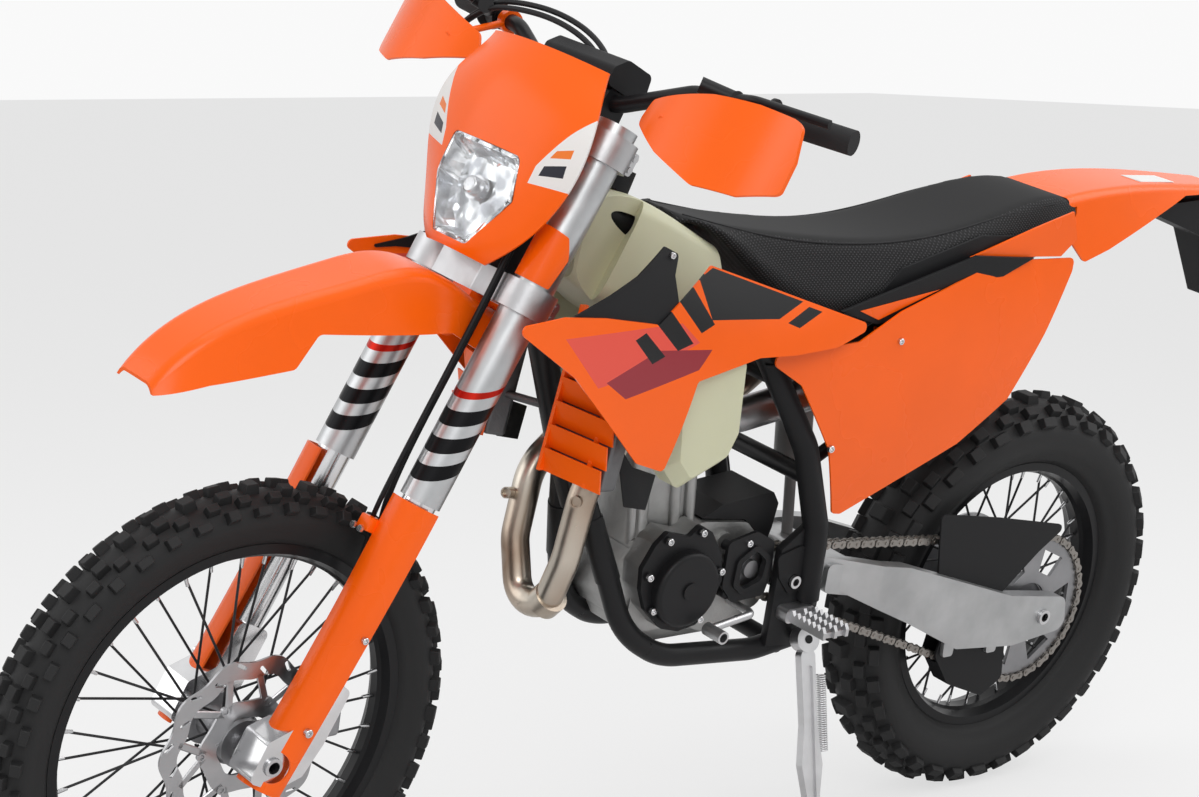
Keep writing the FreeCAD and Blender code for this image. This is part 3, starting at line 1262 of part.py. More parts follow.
def peg_walls(s):
    """Toothed walls and cross bars of one open footpeg."""
    low, high, inner, teeth, pitch = 430, 446, 130, 7, 11
    outline = [vec(0, s * (inner + teeth * pitch), low), vec(0, s * inner, low)]
    for i in range(teeth):
        outline.append(vec(0, s * (inner + i * pitch), high - 5))
        outline.append(vec(0, s * (inner + (i + 0.5) * pitch), high + 3))
    outline.append(vec(0, s * (inner + teeth * pitch), high - 5))
    wall = Part.Face(Part.makePolygon(outline + outline[:1]))
    pieces = []
    for x in (542, 565, 588):
        pieces.append(wall.extrude(vec(6, 0, 0)).translated(vec(x, 0, 0)))
    for i in (0, 2, 4, 6):
        y = s * (inner + i * pitch + (0 if s > 0 else 6))
        pieces.append(Part.makeBox(50, 6, 9, vec(543, y, low)))
    return pieces


def build_guards(frame):
    path = [vec(x, y, z) for x, y, z in SPAR]
    wall = dim.frame_tube - 1 + dim.running_gap
    shell = tube(path, wall + 4, 90).cut(tube(path, wall, 90)).cut(frame)
    inside = side_plate([(400, 400), (800, 400), (800, 900), (400, 900)], 0, 106)
    keep_high = side_plate([(400, 455), (800, 455), (800, 835), (400, 835)], 106, 200)
    boot = side_plate([(624, 532), (580, 544), (530, 532), (536, 482), (588, 466), (614, 497)],
                      112 + dim.running_gap, 116, 8)
    boot = boot.cut(Part.makeCylinder(11, 300, PIVOT + vec(0, -150, 0), vec(0, 1, 0)))
    guard = shell.cut(inside).common(keep_high).fuse(boot.cut(frame)).removeSplitter()
    feature("frame_guards", both_sides(largest(guard)))


def build_rear_brake():
    centre = REAR_AXLE + vec(88, 0, 40)
    side = -dim.rear_disc_offset
    block = Part.makeBox(70, 40, 60, centre + vec(-35, side - 20, -30))
    block = block.makeFillet(6, block.Edges)
    reach = dim.rear_disc_radius + 2
    block = block.cut(Part.makeCylinder(reach, 7, REAR_AXLE + vec(0, side - 3.5, 0), vec(0, 1, 0)))
    block = block.cut(Part.makeCylinder(78, 80, REAR_AXLE + vec(0, side - 40, 0), vec(0, 1, 0)))
    at = vec(REAR_AXLE.x, 0, REAR_AXLE.z)
    hanger = side_plate([(at.x - 20, at.z - 20), (at.x + 60, at.z - 10), (at.x + 122, at.z + 20),
                         (at.x + 118, at.z + 68), (at.x + 50, at.z + 60), (at.x - 20, at.z + 24)],
                        -99.6, -91, 10)
    hanger = hanger.cut(Part.makeCylinder(dim.rear_axle_radius + dim.running_gap, 60,
                                          REAR_AXLE + vec(0, -120, 0), vec(0, 1, 0)))
    feature("rear_caliper", fused([block, hanger]))


def stand_pivot():
    return vec(dim.stand_x, dim.stand_y, dim.stand_z)


def stand_axis():
    """The pin's direction: tipped so that the leg folds up and back outside the wheel."""
    axis = vec(0.14, 0.927, 0.365)
    axis.normalize()
    return axis


def build_stand():
    top = stand_pivot()
    pin = stand_axis()
    foot_y = (dim.stand_y + 0.383 * dim.stand_z) / (1 + 0.383 * math.tan(LEAN))
    foot_z = foot_y * math.tan(LEAN)
    foot = vec(dim.stand_x + 24, foot_y, foot_z)
    run = foot - top
    length = run.Length
    run.normalize()
    across = run.cross(pin)
    across.normalize()
    out = across.cross(run)

    def at(down, side, outward):
        return top + run * down + across * side + out * outward

    # down the leg, half width: the blade swells where the spring hooks on
    edge = ((14, 13), (130, 12), (190, 19), (235, 12), (length - 4, 10))
    outline = [at(down, half, -8) for down, half in edge]
    outline += [at(down, -half, -8) for down, half in reversed(edge)]
    blade = Part.Face(rounded_wire(outline, 12)).extrude(out * 16)
    panel = [at(40, 7, 0), at(length - 24, 5, 0), at(length - 24, -5, 0), at(40, -7, 0)]
    recess = Part.Face(rounded_wire(panel, 4))
    for lift, depth in ((4, 10), (-4, -10)):
        blade = blade.cut(recess.translated(out * lift).extrude(out * depth))
    knuckle = rod(top - pin * 11, top + pin * 11, 20)
    down = vec(0, -math.sin(LEAN), math.cos(LEAN))
    pad = Part.makeCylinder(30, 10, foot, down)
    hole = rod(top - pin * 40, top + pin * 40, 6.5 + dim.bearing_gap)
    feature("side_stand", fused([blade, knuckle, pad]).cut(hole), "side_stand")


def park():
    """Leans the bike, turns the bar, and puts the middle of the whole on the origin."""
    lean = FreeCAD.Placement(vec(0, 0, 0), FreeCAD.Rotation(vec(1, 0, 0), -dim.lean_angle))
    turn = FreeCAD.Placement(vec(0, 0, 0), FreeCAD.Rotation(UP_AXIS, dim.steer_rest), AXIS_FOOT)
    front = FreeCAD.Placement(FRONT_AXLE, FreeCAD.Rotation())
    rear = FreeCAD.Placement(REAR_AXLE, FreeCAD.Rotation())
    local = {"chassis": FreeCAD.Placement(), "side_stand": FreeCAD.Placement(), "steering": turn,
             "front_axle": turn.multiply(front), "front_wheel": turn.multiply(front),
             "rear_axle": rear, "rear_wheel": rear}
    shifted = {"front_disc": dim.front_disc_offset, "rear_disc": -dim.rear_disc_offset,
               "rear_sprocket": dim.chain_line}
    low = [1e9] * 3
    high = [-1e9] * 3
    places = {}
    for name, (obj, group) in SUBPARTS.items():
        aside = FreeCAD.Placement(vec(0, shifted.get(name, 0), 0), FreeCAD.Rotation())
        places[name] = lean.multiply(local[group]).multiply(aside)
        shape = obj.Shape.copy()
        shape.Placement = places[name]
        for point in shape.tessellate(0.3)[0]:
            for i in range(3):
                low[i] = min(low[i], point[i])
                high[i] = max(high[i], point[i])
    shift = vec(-(low[0] + high[0]) / 2, -(low[1] + high[1]) / 2, -low[2])
    for name, (obj, group) in SUBPARTS.items():
        obj.Placement = FreeCAD.Placement(shift, FreeCAD.Rotation()).multiply(places[name])
    return shift


def check_and_write():
    for obj in DOC.Objects:
        if "Invalid" in obj.State or "Error" in obj.State:
            raise RuntimeError("%s did not recompute: %s" % (obj.Label, obj.State))
    for name, (obj, group) in SUBPARTS.items():
        if obj.Shape.isNull() or not obj.Shape.isValid() or not obj.Shape.Solids:
            raise RuntimeError("%s has no valid solid" % name)
    os.makedirs("parts", exist_ok=True)
    for name, (obj, group) in SUBPARTS.items():
        obj.Shape.exportStep(os.path.join("parts", name + ".step"))


build_wheels()
build_fork()
build_clamps()
build_bars()
build_front_bodywork()
CRANKCASE, HEAD_CASTING = build_engine()
FRAME = build_frame(CRANKCASE)
RAILS = build_subframe(FRAME)
build_exhaust(HEAD_CASTING)
CORES = build_cooling(FRAME)
SEAT = build_seat()
TANK = build_tank(FRAME, SEAT)
build_side_bodywork(TANK, CORES, RAILS)
build_tail(SEAT)
build_intake(HEAD_CASTING)
build_swingarm(FRAME)
build_controls(FRAME)
build_guards(FRAME)
build_rear_brake()
build_stand()
DOC.recompute()
SHIFT = park()
DOC.recompute()
check_and_write()
print("shift", SHIFT)
print("front axle", FRONT_AXLE, "rear axle", REAR_AXLE, "axis foot", AXIS_FOOT)
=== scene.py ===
import json
import math

import bpy
from mathutils import Matrix, Vector


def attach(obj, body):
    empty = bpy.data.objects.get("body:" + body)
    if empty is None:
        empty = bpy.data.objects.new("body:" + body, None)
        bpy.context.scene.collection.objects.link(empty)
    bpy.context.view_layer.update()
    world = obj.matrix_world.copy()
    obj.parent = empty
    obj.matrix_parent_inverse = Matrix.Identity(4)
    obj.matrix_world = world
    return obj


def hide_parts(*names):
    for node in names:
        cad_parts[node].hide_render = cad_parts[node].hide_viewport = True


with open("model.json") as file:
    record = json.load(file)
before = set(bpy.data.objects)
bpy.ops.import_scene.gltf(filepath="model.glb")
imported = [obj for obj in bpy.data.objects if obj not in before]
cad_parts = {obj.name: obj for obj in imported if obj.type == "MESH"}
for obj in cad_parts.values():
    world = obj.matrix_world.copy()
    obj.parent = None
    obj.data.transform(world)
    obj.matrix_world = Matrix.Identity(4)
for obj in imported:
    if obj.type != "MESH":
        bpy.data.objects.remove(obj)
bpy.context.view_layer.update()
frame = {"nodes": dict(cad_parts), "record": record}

bl_info = {
    "name": "Enduro Dress",
    "version": (1, 0, 0),
    "blender": (4, 5, 0),
    "location": "View3D > Sidebar > Enduro",
    "description": "Dresses the enduro motorcycle with seat cover, graphics and hardware",
    "category": "Object",
}

# The parked bike: lean to the left and turn of the bar, in degrees
LEAN = math.radians(11.34)
RAKE = math.radians(26.1)
STEER = math.radians(2.5)
# From the bike's own frame, on the ground under the rear axle, to the middle of the row, metres
SHIFT = Vector((-0.7110296, -0.2398151, 0.0))
UP_AXIS = Vector((-math.sin(RAKE), 0, math.cos(RAKE)))
FORE_AXIS = Vector((math.cos(RAKE), 0, math.sin(RAKE)))
AXIS_FOOT = Vector((1.4377034, 0, 0.3279091))
LEANED = Matrix.Rotation(-LEAN, 4, "X")
PARKED = Matrix.Translation(SHIFT) @ LEANED
TURNED = (PARKED @ Matrix.Translation(AXIS_FOOT) @ Matrix.Rotation(STEER, 4, UP_AXIS)
          @ Matrix.Translation(-AXIS_FOOT))
FRONT_AXLE = Vector((1.488891, 0, 0.352986))
REAR_AXLE = Vector((0, 0, 0.351489))
DRIVE_SHAFT = Vector((0.652, 0, 0.507))
FRONT_WHEEL = TURNED @ Matrix.Translation(FRONT_AXLE)
REAR_WHEEL = PARKED @ Matrix.Translation(REAR_AXLE)
CLAMP_OFFSET = 0.022
LEG_SIDE = 0.098

# The photograph's camera, in the bike's frame
PHOTO_SIZE = (1199, 797)
CAMERA_SPOT = Vector((3.191732, 2.963255, 1.287553))
CAMERA_YAW = math.radians(-128.962122)
CAMERA_DOWN = math.radians(9.999897)
CAMERA_ROLL = math.radians(0.968221)
FOCAL_PIXELS = 2581.40
CENTRE_PIXEL = (597.14, 469.324)


class EnduroColours(bpy.types.PropertyGroup):
    """Colours of the moulded and painted pieces."""

    plastic: bpy.props.FloatVectorProperty(
        name="Plastic", description="Shrouds, fenders and guards", subtype="COLOR",
        size=3, default=(0.98, 0.125, 0.002), min=0, max=1)
    tank: bpy.props.FloatVectorProperty(
        name="Tank", description="Translucent fuel tank", subtype="COLOR",
        size=3, default=(0.62, 0.62, 0.44), min=0, max=1)
    backdrop: bpy.props.FloatVectorProperty(
        name="Backdrop", description="Floor and background", subtype="COLOR",
        size=3, default=(0.86, 0.86, 0.86), min=0, max=1)


class EnduroSizes(bpy.types.PropertyGroup):
    """Sizes of the dressed pieces."""

    seat_voxel: bpy.props.FloatProperty(
        name="Seat mesh", description="Cell of the seat cover's mesh", subtype="DISTANCE",
        unit="LENGTH", default=0.006, min=0.003, max=0.02)
    block_height: bpy.props.FloatProperty(
        name="Tread depth", description="Height of the tyres' blocks", subtype="DISTANCE",
        unit="LENGTH", default=0.0115, min=0.004, max=0.015)
    seam: bpy.props.FloatProperty(
        name="Seat seam", description="Radius of the seat's sewn cord", subtype="DISTANCE",
        unit="LENGTH", default=0.0016, min=0.0008, max=0.004)
    chain_pitch: bpy.props.FloatProperty(
        name="Chain pitch", description="Between the chain's pins", subtype="DISTANCE",
        unit="LENGTH", default=0.015875, min=0.01, max=0.02)


def colours():
    return bpy.context.scene.enduro_colours


def sizes():
    return bpy.context.scene.enduro_sizes


def deselect():
    bpy.ops.object.select_all(action="DESELECT")


def only(obj):
    """Makes OBJ the one selected and active object."""
    deselect()
    obj.select_set(True)
    bpy.context.view_layer.objects.active = obj
    return obj


def placed(obj, where=None):
    """Works the object's place into its mesh and leaves it on the origin."""
    if where is not None:
        obj.matrix_world = where @ obj.matrix_world
    only(obj)
    bpy.ops.object.transform_apply(location=True, rotation=True, scale=True)
    return obj


def leave_edit():
    bpy.ops.object.mode_set(mode="OBJECT")


def pick(obj, test):
    """Opens the mesh with the faces selected whose middle and normal pass the test."""
    only(obj)
    bpy.ops.object.mode_set(mode="EDIT")
    bpy.ops.mesh.select_mode(type="FACE")
    bpy.ops.mesh.select_all(action="DESELECT")
    bpy.ops.object.mode_set(mode="OBJECT")
    for face in obj.data.polygons:
        face.select = test(face.center, face.normal)
    bpy.ops.object.mode_set(mode="EDIT")


def cylinder(name, radius, depth, sides=20):
    """Cylinder that stands on the XY plane."""
    deselect()
    bpy.ops.mesh.primitive_cylinder_add(vertices=sides, radius=radius, depth=depth,
                                        location=(0, 0, depth / 2))
    obj = bpy.context.object
    obj.name = name
    return placed(obj)


def slab(name, size, lift=0.0):
    """Box of that size, its foot LIFT above the XY plane."""
    deselect()
    bpy.ops.mesh.primitive_cube_add(size=1, location=(0, 0, lift + size[2] / 2))
    obj = bpy.context.object
    obj.name = name
    obj.scale = size
    return placed(obj)


def outline_plate(name, corners, thickness, edge):
    """Flat plate: its corners, given in order on the XY plane, drawn up and its rim softened."""
    deselect()
    bpy.ops.mesh.primitive_circle_add(vertices=len(corners), radius=1, fill_type="NGON")
    obj = bpy.context.object
    obj.name = name
    for vertex, (x, y) in zip(obj.data.vertices, corners):
        vertex.co = (x, y, 0)
    bpy.ops.object.mode_set(mode="EDIT")
    bpy.ops.mesh.select_all(action="SELECT")
    bpy.ops.mesh.extrude_region_move(TRANSFORM_OT_translate={"value": (0, 0, thickness)})
    bpy.ops.mesh.select_all(action="SELECT")
    bpy.ops.mesh.normals_make_consistent(inside=False)
    bpy.ops.mesh.bevel(offset=edge, segments=2)
    leave_edit()
    return obj


def spun_ring(name, outline, steps):
    """Ring about the Y axis, spun from a closed outline of radius and across."""
    deselect()
    bpy.ops.mesh.primitive_circle_add(vertices=len(outline), radius=1)
    ring = bpy.context.object
    ring.name = name
    for vertex, (radius, across) in zip(ring.data.vertices, outline):
        vertex.co = (radius, across, 0)
    bpy.ops.object.mode_set(mode="EDIT")
    bpy.ops.mesh.select_all(action="SELECT")
    bpy.ops.mesh.spin(steps=steps, angle=math.tau, center=(0, 0, 0), axis=(0, 1, 0))
    bpy.ops.mesh.select_all(action="SELECT")
    bpy.ops.mesh.remove_doubles(threshold=0.00002)
    bpy.ops.mesh.normals_make_consistent(inside=False)
    leave_edit()
    return ring


def bent_pipe(name, corners, radius, bend, sides=8):
    """Round pipe in the bike's axes along CORNERS, each corner an arc; all in millimetres."""
    line = bpy.data.curves.new(name, "CURVE")
    line.dimensions = "3D"
    line.bevel_depth = radius / 1000
    line.bevel_resolution = sides
    line.use_fill_caps = True
    spots = [Vector(corner) / 1000 for corner in corners]
    knots = [(spots[0], (spots[1] - spots[0]) * 0.2)]
    for before, corner, after in zip(spots, spots[1:], spots[2:]):
        inward, outward = (corner - before).normalized(), (after - corner).normalized()
        angle = inward.angle(outward)
        if angle < 0.02:
            continue
        reach = min(bend / 1000 * math.tan(angle / 2), (corner - before).length * 0.48,
                    (after - corner).length * 0.48)
        handle = reach / math.tan(angle / 2) * math.tan(angle / 4) * 4 / 3
        knots.append((corner - inward * reach, inward * handle))
        knots.append((corner + outward * reach, outward * handle))
    knots.append((spots[-1], (spots[-1] - spots[-2]) * 0.2))
    run = line.splines.new("BEZIER")
    run.bezier_points.add(len(knots) - 1)
    for point, (spot, handle) in zip(run.bezier_points, knots):
        point.co = spot
        point.handle_left = spot - handle
        point.handle_right = spot + handle
    run.resolution_u = 8
    obj = bpy.data.objects.new(name, line)
    bpy.context.collection.objects.link(obj)
    only(obj)
    bpy.ops.object.convert(target="MESH")
    return placed(bpy.context.object, PARKED)


def joined(objects, name):
    """One object of several, its place worked into its mesh."""
    deselect()
    for obj in objects:
        obj.select_set(True)
    bpy.context.view_layer.objects.active = objects[0]
    bpy.ops.object.transform_apply(location=True, rotation=True, scale=True)
    if len(objects) > 1:
        bpy.ops.object.join()
    bpy.context.object.name = name
    return bpy.context.object


def copies(source, places, name):
    """Copies of one small piece, each with its own mesh, joined; the first piece goes."""
    made = []
    for place in places:
        one = source.copy()
        one.data = source.data.copy()
        bpy.context.collection.objects.link(one)
        one.matrix_world = place
        made.append(one)
    bpy.data.objects.remove(source)
    return joined(made, name)


def node_copy(node, name):
    """Merged copy of a solid's mesh, with none of its marks."""
    source = frame["nodes"][node]
    obj = source.copy()
    obj.data = source.data.copy()
    for key in list(obj.keys()):
        del obj[key]
    obj.parent = None
    obj.name = name
    bpy.context.scene.collection.objects.link(obj)
    only(obj)
    bpy.ops.object.mode_set(mode="EDIT")
    bpy.ops.mesh.select_all(action="SELECT")
    bpy.ops.mesh.remove_doubles(threshold=0.0002)
    bpy.ops.mesh.normals_make_consistent(inside=False)
    leave_edit()
    return obj


def modified(obj, kind, **values):
    """Adds one modifier, sets it and works it into the mesh."""
    step = obj.modifiers.new(kind.lower(), kind)
    for key, value in values.items():
        setattr(step, key, value)
    only(obj)
    bpy.ops.object.modifier_apply(modifier=step.name)
    return obj


def fork_place(along, fore, side):
    """Point of the straight fork, in metres: up the steering axis, forward of it, to the left."""
    return AXIS_FOOT + UP_AXIS * along + FORE_AXIS * fore + Vector((0, side, 0))


def landing(node, start, run):
    """Where a ray meets a solid, and the way back along the ray."""
    hit, place, _, _ = frame["nodes"][node].ray_cast(start, run)
    if not hit:
        raise RuntimeError("no face of %s ahead of %s" % (node, tuple(start)))
    return place, -run


def stood(place, up, factor=1.0):
    """Matrix that stands a piece at a place, its Z axis along UP."""
    turn = up.to_track_quat("Z", "Y").to_matrix().to_4x4()
    return Matrix.Translation(place) @ turn @ Matrix.Scale(factor, 4)


def smooth(obj, degrees=35):
    only(obj)
    bpy.ops.object.shade_smooth_by_angle(angle=math.radians(degrees))
    return obj


def dress(obj, material, body):
    """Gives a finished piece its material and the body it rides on."""
    obj.data.materials.clear()
    obj.data.materials.append(material)
    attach(obj, body)
    return obj


class Nodes:
    """Short words for the node tree of one material."""

    def __init__(self, name):
        self.material = bpy.data.materials.new(name)
        self.material.use_nodes = True
        self.tree = self.material.node_tree
        self.shader = self.tree.nodes["Principled BSDF"]
        self.place = self.tree.nodes.new("ShaderNodeTexCoord").outputs["Object"]

    def set(self, **values):
        for key, value in values.items():
            self.shader.inputs[key.replace("_", " ")].default_value = value
        return self

    def link(self, source, target):
        self.tree.links.new(source, target)

    def noise(self, scale, detail=3.0, rough=0.55):
        node = self.tree.nodes.new("ShaderNodeTexNoise")
        node.inputs["Scale"].default_value = scale
        node.inputs["Detail"].default_value = detail
        node.inputs["Roughness"].default_value = rough
        self.link(self.place, node.inputs["Vector"])
        return node.outputs["Fac"]

    def ramp(self, source, stops):
        node = self.tree.nodes.new("ShaderNodeValToRGB")
        ramp = node.color_ramp
        while len(ramp.elements) < len(stops):
            ramp.elements.new(0.5)
        for element, (spot, colour) in zip(ramp.elements, stops):
            element.position = spot
            element.color = (*colour, 1)
        self.link(source, node.inputs["Fac"])
        return node.outputs["Color"]

    def spread(self, source, low, high):
        node = self.tree.nodes.new("ShaderNodeMapRange")
        node.inputs["To Min"].default_value = low
        node.inputs["To Max"].default_value = high
        self.link(source, node.inputs["Value"])
        return node.outputs["Result"]

    def own(self, turned=False):
        """Coordinates of the upright bike, or of the straight fork."""
        inverse = (TURNED if turned else PARKED).inverted()
        node = self.tree.nodes.new("ShaderNodeMapping")
        node.inputs["Location"].default_value = inverse.to_translation()
        node.inputs["Rotation"].default_value = inverse.to_euler("XYZ")
        self.link(self.place, node.inputs["Vector"])
        return node.outputs["Vector"]

    def math(self, kind, first, second=None):
        node = self.tree.nodes.new("ShaderNodeMath")
        node.operation = kind
        for socket, value in zip(node.inputs, (first, second)):
            if isinstance(value, bpy.types.NodeSocket):
                self.link(value, socket)
            elif value is not None:
                socket.default_value = value
        return node.outputs["Value"]

    def along(self, vector, direction):
        node = self.tree.nodes.new("ShaderNodeVectorMath")
        node.operation = "DOT_PRODUCT"
        self.link(vector, node.inputs[0])
        node.inputs[1].default_value = direction
        return node.outputs["Value"]

    def patch(self, vector, corners, across=Vector((1, 0, 0)), up=Vector((0, 0, 1)), foot=Vector()):
        """1 inside a convex patch, its corners in millimetres along two axes from a foot."""
        inside = None
        area = sum(x0 * z1 - x1 * z0
                   for (x0, z0), (x1, z1) in zip(corners, corners[1:] + corners[:1]))
        if area > 0:
            corners = corners[::-1]
        for (x0, z0), (x1, z1) in zip(corners, corners[1:] + corners[:1]):
            inward = (across * (z1 - z0) + up * (x0 - x1)).normalized()
            corner = foot + (across * x0 + up * z0) / 1000
            limit = inward.dot(corner)
            side = self.math("GREATER_THAN", self.along(vector, inward), limit)
            inside = side if inside is None else self.math("MULTIPLY", inside, side)
        return inside

    def blend(self, share, low, high):
        node = self.tree.nodes.new("ShaderNodeMix")
        node.data_type = "RGBA"
        self.link(share, node.inputs["Factor"])
        for socket, value in ((node.inputs[6], low), (node.inputs[7], high)):
            if isinstance(value, bpy.types.NodeSocket):
                self.link(value, socket)
            else:
                socket.default_value = (*value, 1)
        return node.outputs[2]

    def base(self):
        """What the base colour is fed by."""
        return self.shader.inputs["Base Color"].links[0].from_socket

    def bump(self, source, strength, distance=0.001):
        node = self.tree.nodes.new("ShaderNodeBump")
        node.inputs["Strength"].default_value = strength
        node.inputs["Distance"].default_value = distance
        self.link(source, node.inputs["Height"])
        self.link(node.outputs["Normal"], self.shader.inputs["Normal"])
        return node


def shade(colour, factor):
    return tuple(min(1.0, c * factor) for c in colour)


def moulded(name, colour, rough, grain):
    """Moulded plastic: a faint grain and slow changes of gloss; dark ones shine less."""
    nodes = Nodes(name)
    shine = 0.3 if max(colour) > 0.1 else 0.2
    nodes.set(Base_Color=(*colour, 1), Roughness=rough, Specular_IOR_Level=shine)
    slow = nodes.noise(9.0)
    nodes.link(nodes.ramp(slow, ((0.3, shade(colour, 0.97)), (0.7, shade(colour, 1.02)))),
               nodes.shader.inputs["Base Color"])
    nodes.link(nodes.spread(nodes.noise(6.0), rough * 0.94, rough * 1.08),
               nodes.shader.inputs["Roughness"])
    nodes.bump(nodes.noise(900.0), grain)
    return nodes


def metal(name, colour, rough, grain, scale=320.0):
    """Bare metal: fine grain, patches of duller surface."""
    nodes = Nodes(name)
    nodes.set(Base_Color=(*colour, 1), Roughness=rough, Metallic=1.0)
    slow = nodes.noise(14.0)
    nodes.link(nodes.ramp(slow, ((0.3, shade(colour, 0.85)), (0.7, shade(colour, 1.08)))),
               nodes.shader.inputs["Base Color"])
    nodes.link(nodes.spread(nodes.noise(60.0), rough * 0.75, rough * 1.3),
               nodes.shader.inputs["Roughness"])
    nodes.bump(nodes.noise(scale), grain)
    return nodes


def tyre_rubber():
    nodes = moulded("Tyre rubber", (0.013, 0.013, 0.0135), 0.6, 0.25)
    nodes.set(Specular_IOR_Level=0.3)
    return nodes


def grip_rubber():
    return moulded("Grip rubber", (0.02, 0.02, 0.021), 0.7, 0.5)


def header_steel():
    """Steel pipe with random blotches of straw, brown and dark brown."""
    nodes = metal("Header steel", (0.5, 0.45, 0.39), 0.3, 0.05)
    tint = nodes.ramp(nodes.noise(6.0, 1.0), ((0.38, (0.56, 0.51, 0.44)), (0.48, (0.44, 0.36, 0.29)),
                                              (0.56, (0.27, 0.19, 0.14)), (0.64, (0.52, 0.47, 0.42))))
    nodes.link(tint, nodes.shader.inputs["Base Color"])
    return nodes


def tank_plastic():
    nodes = moulded("Tank plastic", tuple(colours().tank), 0.42, 0.06)
    nodes.set(Subsurface_Weight=0.35, Subsurface_Radius=(0.03, 0.03, 0.02))
    return nodes


def lens_glass():
    nodes = Nodes("Lens")
    nodes.set(Base_Color=(0.97, 0.98, 0.99, 1), Roughness=0.03, Transmission_Weight=0.95, IOR=1.35)
    nodes.bump(nodes.noise(60.0), 0.08)
    return nodes


def red_lens():
    """Red lamp cover with fine ribs."""
    nodes = Nodes("Red lens")
    nodes.set(Base_Color=(0.5, 0.008, 0.006, 1), Roughness=0.18, Transmission_Weight=0.2)
    ribs = nodes.math("SINE", nodes.along(nodes.own(), (0, 2200.0, 0)))
    nodes.bump(ribs, 0.4)
    return nodes


def mirror_metal():
    """Bright reflector with shallow cells."""
    nodes = Nodes("Mirror metal")
    nodes.set(Base_Color=(0.72, 0.73, 0.75, 1), Roughness=0.16, Metallic=1.0)
    cells = nodes.tree.nodes.new("ShaderNodeTexVoronoi")
    cells.inputs["Scale"].default_value = 30.0
    nodes.link(nodes.place, cells.inputs["Vector"])
    nodes.bump(cells.outputs["Distance"], 0.9, 0.006)
    tints = nodes.ramp(nodes.noise(38.0, 1.0), ((0.38, (0.34, 0.35, 0.37)), (0.6, (0.86, 0.87, 0.88))))
    nodes.link(tints, nodes.shader.inputs["Base Color"])
    return nodes


def seat_cloth():
    """Gripper cloth: rows of small raised dots that follow the seat's length."""
    nodes = Nodes("Seat cloth")
    nodes.set(Base_Color=(0.01, 0.01, 0.011, 1), Roughness=0.7, Specular_IOR_Level=0.25)
    own = nodes.own()
    dots_per_metre, rows_per_metre = 150.0, 190.0
    dots = nodes.math("SINE", nodes.along(own, (dots_per_metre * math.tau, 0, 0)))
    rows = nodes.math("SINE", nodes.along(own, (0, 0.3 * rows_per_metre * math.tau,
                                                rows_per_metre * math.tau)))
    both = nodes.math("MAXIMUM", nodes.math("MULTIPLY", dots, rows), 0.0)
    coords = nodes.tree.nodes.new("ShaderNodeTexCoord")
    level = nodes.along(coords.outputs["Normal"], LEANED.to_3x3() @ Vector((0, 0, 1)))
    flank = nodes.math("LESS_THAN", level, 0.86)
    both = nodes.math("MULTIPLY", both, flank)
    nodes.bump(both, 0.9, 0.0012)
    nodes.link(nodes.ramp(both, ((0.25, (0.007, 0.007, 0.0075)), (0.8, (0.05, 0.05, 0.053)))),
               nodes.shader.inputs["Base Color"])
    return nodes


# Shroud graphic seen from the left, x and z in millimetres, convex patches
SHROUD_WARM = (((1158, 934), (1092, 862), (985, 880), (905, 905), (940, 934)),)
SHROUD_DARK_WARM = (((1078, 868), (1040, 842), (905, 868), (880, 893), (985, 902)),)
SHROUD_BLACK = (((903, 988), (873, 999), (690, 940), (742, 921), (880, 932)),
                ((948, 966), (918, 981), (875, 926), (902, 917)),
                ((990, 938), (962, 952), (918, 905), (948, 898)),
                ((1030, 920), (1010, 928), (972, 893), (996, 885)),
                ((678, 932), (650, 923), (700, 905), (724, 914)))


def shroud_plastic():
    """Orange plastic with the warm wedge and the black slashes of its film."""
    nodes = moulded("Shroud plastic", tuple(colours().plastic), 0.25, 0.02)
    own = nodes.own()
    colour = nodes.base()
    for patches, tint in ((SHROUD_WARM, (0.78, 0.09, 0.06)), (SHROUD_DARK_WARM, (0.3, 0.03, 0.04)),
                          (SHROUD_BLACK, (0.012, 0.012, 0.013))):
        for corners in patches:
            colour = nodes.blend(nodes.patch(own, corners), colour, tint)
    nodes.link(colour, nodes.shader.inputs["Base Color"])
    return nodes


# Film on the mask's cheek: out from the middle and up the steering axis, millimetres
CHEEK_FILM = ((92, 822), (98, 856), (128, 902), (162, 962), (165, 880), (150, 832))
CHEEK_SLASHES = (((104, 836), (108, 850), (138, 862), (138, 846)),
                 ((112, 862), (118, 874), (140, 884), (140, 872)))


def mask_plastic():
    """Orange plastic with pale film on both cheeks of the lamp's mask."""
    nodes = moulded("Mask plastic", tuple(colours().plastic), 0.24, 0.02)
    own = nodes.own(turned=True)
    colour = nodes.base()
    for mirror in (1, -1):
        side = Vector((0, mirror, 0))
        for corners, tint in ((CHEEK_FILM, (0.8, 0.78, 0.76)), (CHEEK_SLASHES[0], (0.02, 0.02, 0.03)),
                              (CHEEK_SLASHES[1], (0.85, 0.2, 0.03))):
            inside = nodes.patch(own, corners, side, UP_AXIS, AXIS_FOOT)
            colour = nodes.blend(inside, colour, tint)
    nodes.link(colour, nodes.shader.inputs["Base Color"])
    return nodes


